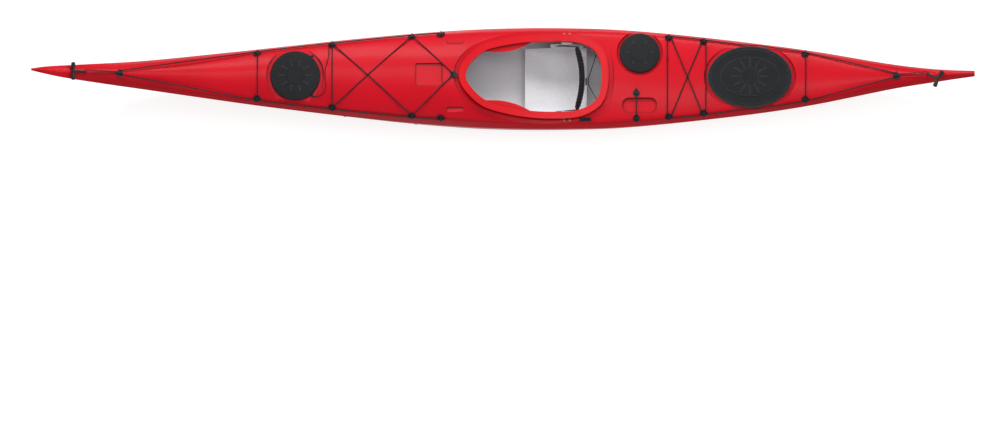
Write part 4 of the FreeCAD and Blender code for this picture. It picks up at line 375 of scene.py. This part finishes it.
ROUND_SEGMENTS = 3
ROUND_FROM_DEGREES = 40
EDGE_ROUNDS = {
    "cockpit_coaming": 0.0035,
    "front_hatch_cover": 0.0012,
    "day_hatch_cover": 0.0012,
    "rear_hatch_cover": 0.0015,
    "seat_pan": 0.0012,
    "seat_hangers": 0.001,
    "foot_pedal_port": 0.0012,
    "foot_pedal_starboard": 0.0012,
    "skeg_blade": 0.001,
    "skeg_slider_track": 0.0005,
    "fore_deck_fittings": 0.0007,
    "aft_deck_fittings": 0.0007,
    "end_fittings": 0.0007,
    "centre_fitting": 0.0007,
    "paddle_fittings": 0.0007,
    "bow_toggle": 0.0015,
    "stern_toggle": 0.0015,
}


def soften(name, radius):
    bevel = nodes[name].modifiers.new("edge_round", "BEVEL")
    bevel.width = radius
    bevel.segments = ROUND_SEGMENTS
    bevel.limit_method = "ANGLE"
    bevel.angle_limit = math.radians(ROUND_FROM_DEGREES)
    bevel.harden_normals = False


for name, radius in EDGE_ROUNDS.items():
    soften(name, radius)


def mesh_piece(name, verts, faces, finish, body):
    """A new smooth piece of the object that rides on a body."""
    mesh = bpy.data.meshes.new(name)
    mesh.from_pydata(verts, [], faces)
    mesh.update()
    made = bpy.data.objects.new(name, mesh)
    bpy.context.scene.collection.objects.link(made)
    made.data.materials.append(finish)
    for face in mesh.polygons:
        face.use_smooth = True
    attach(made, body)
    return made


# Backband: a padded band sewn into upright rolls

BAND_X = 0.421
BAND_BOW = 0.030
BAND_HALF_WIDTH = 0.1715
BAND_MIDDLE_Z = 0.2135
BAND_HALF_HEIGHT = 0.0725
BAND_HALF_THICKNESS = 0.0158
BAND_ROLLS = 19
BAND_PINCH_SHARE = 0.6
BAND_ALONG = 304
BAND_AROUND = 40


def band_point(along, turn):
    """A point of the pad's surface: along from -1 to 1 across the boat, turn round the section."""
    roll = abs(math.sin(math.pi * BAND_ROLLS * (along + 1) / 2)) ** 0.6
    end_draw = math.sqrt(max(0.0, 1 - abs(along) ** 10))
    thick = BAND_HALF_THICKNESS * (1 - BAND_PINCH_SHARE * (1 - roll)) * (0.3 + 0.7 * end_draw)
    tall = BAND_HALF_HEIGHT * (0.62 + 0.38 * end_draw) * (0.955 + 0.045 * roll)
    cosine, sine = math.cos(turn), math.sin(turn)
    upright = math.copysign(abs(sine) ** 0.5, sine)
    level = math.copysign(abs(cosine) ** 0.75, cosine)
    slope = -2 * along * BAND_BOW / BAND_HALF_WIDTH
    outward = Vector((1, -slope, 0)).normalized()
    middle = Vector((BAND_X + BAND_BOW * (0.5 - along * along), along * BAND_HALF_WIDTH, BAND_MIDDLE_Z))
    return middle + outward * (thick * level) + Vector((0, 0, tall * upright))


def tube(rows, columns, point):
    """Points and faces of a closed skin with capped ends."""
    verts = [point(at, around) for at in range(rows) for around in range(columns)]
    faces = [(at * columns + around, at * columns + (around + 1) % columns,
              (at + 1) * columns + (around + 1) % columns, (at + 1) * columns + around)
             for at in range(rows - 1) for around in range(columns)]
    faces.append(tuple(reversed(range(columns))))
    faces.append(tuple((rows - 1) * columns + around for around in range(columns)))
    return verts, faces


def band_grid_point(at, around):
    return band_point(2 * at / BAND_ALONG - 1, 2 * math.pi * around / BAND_AROUND)


verts, faces = tube(BAND_ALONG + 1, BAND_AROUND, band_grid_point)
band = mesh_piece("backband_rolls", verts, faces, band_cloth, "backband")
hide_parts("backband_pad")

# Straps of webbing from the band's ends to their anchors

STRAP_HALF_WIDTH = 0.0123
STRAP_HALF_THICKNESS = 0.0011
STRAP_OVERHANG = 0.0066
STRAP_ANCHOR = (0.300, 0.1842, 0.190)
STRAP_END = (0.406, 0.1768, 0.2135)
STRAP_ROWS = 60
STRAP_COLUMNS = 28
STITCH_STARTS = (0.1, 0.84)
STITCH_SHARE = 0.06


def webbing(name, side):
    """A flat strap with thick woven edges and doubled, stitched ends."""
    start = Vector((STRAP_ANCHOR[0], side * STRAP_ANCHOR[1], STRAP_ANCHOR[2]))
    end = Vector((STRAP_END[0], side * STRAP_END[1], STRAP_END[2]))
    run = (end - start).normalized()
    start, end = start - run * STRAP_OVERHANG, end + run * STRAP_OVERHANG
    wide = run.cross(Vector((0, 1, 0))).normalized()
    flat = wide.cross(run).normalized()

    def point(at, around):
        share = at / (STRAP_ROWS - 1)
        turn = 2 * math.pi * around / STRAP_COLUMNS
        cosine, sine = math.cos(turn), math.sin(turn)
        across = math.copysign(abs(cosine) ** 0.35, cosine)
        through = math.copysign(abs(sine) ** 0.7, sine)
        doubled = any(low < share < low + STITCH_SHARE for low in STITCH_STARTS)
        dip = 0.82 if doubled and at % 2 else 1.0
        thick = STRAP_HALF_THICKNESS * dip * (0.86 + 0.14 * abs(across) ** 6)
        return start.lerp(end, share) + wide * (STRAP_HALF_WIDTH * across) + flat * (thick * through)

    verts, faces = tube(STRAP_ROWS, STRAP_COLUMNS, point)
    return mesh_piece(name, verts, faces, band_cloth, "backband")


for side, name in ((-1, "backband_strap_port"), (1, "backband_strap_starboard")):
    strap = webbing(name, side)
    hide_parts("backband_straps")

# Tether of the front hatch cover: a loose cord on the deck

TETHER_RADIUS = 0.002
TETHER_ROUTE = [(-0.93989, 0.17379, 0.28789), (-0.96109, 0.16975, 0.29021), (-0.958, 0.116, 0.29982),
                (-0.966, 0.08, 0.30856), (-0.978, 0.04, 0.31406), (-0.981, -0.006, 0.31546),
                (-0.974, -0.052, 0.31294), (-0.982, -0.092, 0.30534), (-1.006, -0.114, 0.29855),
                (-1.031, -0.117, 0.29667), (-1.04565, -0.1172, 0.28599)]
TETHER_ROUNDNESS = 5
TETHER_SMOOTHNESS = 16

line = bpy.data.curves.new("front_hatch_tether_line", "CURVE")
line.dimensions = "3D"
line.bevel_depth = TETHER_RADIUS
line.bevel_resolution = TETHER_ROUNDNESS
line.use_fill_caps = True
spline = line.splines.new("NURBS")
spline.points.add(len(TETHER_ROUTE) - 1)
for point, place in zip(spline.points, TETHER_ROUTE):
    point.co = (*place, 1)
spline.order_u = 3
spline.use_endpoint_u = True
spline.resolution_u = TETHER_SMOOTHNESS
tether = bpy.data.objects.new("front_hatch_tether_line", line)
bpy.context.scene.collection.objects.link(tether)
tether.data.materials.append(deck_cord)
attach(tether, "boat")
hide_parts("front_hatch_tether")

# Floor, light and camera

FLOOR_DROP = 0.004
FLOOR_REACH = 30.0
FLOOR_GLOW = 0.82
FLOOR_GREY = (0.42, 0.42, 0.42)
WORLD_LEVEL = 0.34
FLOOR_CORNERS = ((-1, -1), (1, -1), (1, 1), (-1, 1))
mesh = bpy.data.meshes.new("floor")
floor_z = cad_low.z - FLOOR_DROP
mesh.from_pydata([(x * FLOOR_REACH, y * FLOOR_REACH, floor_z) for x, y in FLOOR_CORNERS], [], [(0, 1, 2, 3)])
floor = bpy.data.objects.new("floor", mesh)
bpy.context.scene.collection.objects.link(floor)


def seen_rays(tree):
    """1 for the rays that show a thing, to the camera or in gloss and glass, 0 for those that light it."""
    path = tree.nodes.new("ShaderNodeLightPath")
    total = path.outputs["Is Camera Ray"]
    for kind in ("Is Glossy Ray", "Is Transmission Ray"):
        total = maths(tree, "MAXIMUM", total, path.outputs[kind])
    return total


floor_paint, floor_tree, floor_shader = material("floor_paint", FLOOR_GREY, 0.9, specular=0.0)
floor_tree.links.new(ramp(floor_tree, noise(floor_tree, 0.6, 2.0), FLOOR_GREY, shade(FLOOR_GREY, 1.02)),
                     floor_shader.inputs["Base Color"])
floor_tree.links.new(spread(floor_tree, seen_rays(floor_tree), 0.0, FLOOR_GLOW),
                     floor_shader.inputs["Emission Strength"])
floor_shader.inputs["Emission Color"].default_value = (1, 1, 1, 1)
floor.data.materials.append(floor_paint)

world = bpy.data.worlds.new("studio")
bpy.context.scene.world = world
world.use_nodes = True
backdrop = world.node_tree.nodes["Background"]
backdrop.inputs["Color"].default_value = (1, 1, 1, 1)
world.node_tree.links.new(spread(world.node_tree, seen_rays(world.node_tree), WORLD_LEVEL, 1.0),
                          backdrop.inputs["Strength"])


def area_light(name, place, target, size, power):
    """A soft box that looks at a point."""
    lamp = bpy.data.lights.new(name, "AREA")
    lamp.shape = "RECTANGLE"
    lamp.size, lamp.size_y = size
    lamp.energy = power
    made = bpy.data.objects.new(name, lamp)
    made.location = place
    made.rotation_mode = "QUATERNION"
    made.rotation_quaternion = (Vector(target) - Vector(place)).to_track_quat("-Z", "Y")
    bpy.context.scene.collection.objects.link(made)


LAMP_TARGET = (0, 0, 0.2)
LAMPS = [
    ("key", (0.2, 3.2, 3.6), (7.0, 1.0), 190),
    ("overhead", (0.2, 0.35, 4.4), (6.0, 0.7), 62),
    ("fill", (-1.0, -3.8, 3.0), (5.0, 1.2), 10),
]
for name, place, size, power in LAMPS:
    area_light(name, place, LAMP_TARGET, size, power)

lens = bpy.data.cameras.new("camera")
lens.type = "ORTHO"
lens.ortho_scale = IMAGE_WIDTH * METRES_PER_PIXEL
camera = bpy.data.objects.new("camera", lens)
bpy.context.scene.collection.objects.link(camera)
bpy.context.scene.camera = camera
elevation = math.radians(CAMERA_ELEVATION)
look_x = (IMAGE_WIDTH / 2 - MIDSHIP_PIXEL_X) * METRES_PER_PIXEL
look_y = (KEEL_PIXEL_Y - IMAGE_HEIGHT / 2) * METRES_PER_PIXEL / math.sin(elevation)
back = Vector((0, -math.cos(elevation), math.sin(elevation)))
camera.location = Vector((look_x, look_y, 0)) + back * CAMERA_DISTANCE
camera.rotation_mode = "QUATERNION"
camera.rotation_quaternion = (-back).to_track_quat("-Z", "Y")
lens.clip_end = CAMERA_REACH

bpy.context.scene.view_settings.view_transform = "Standard"
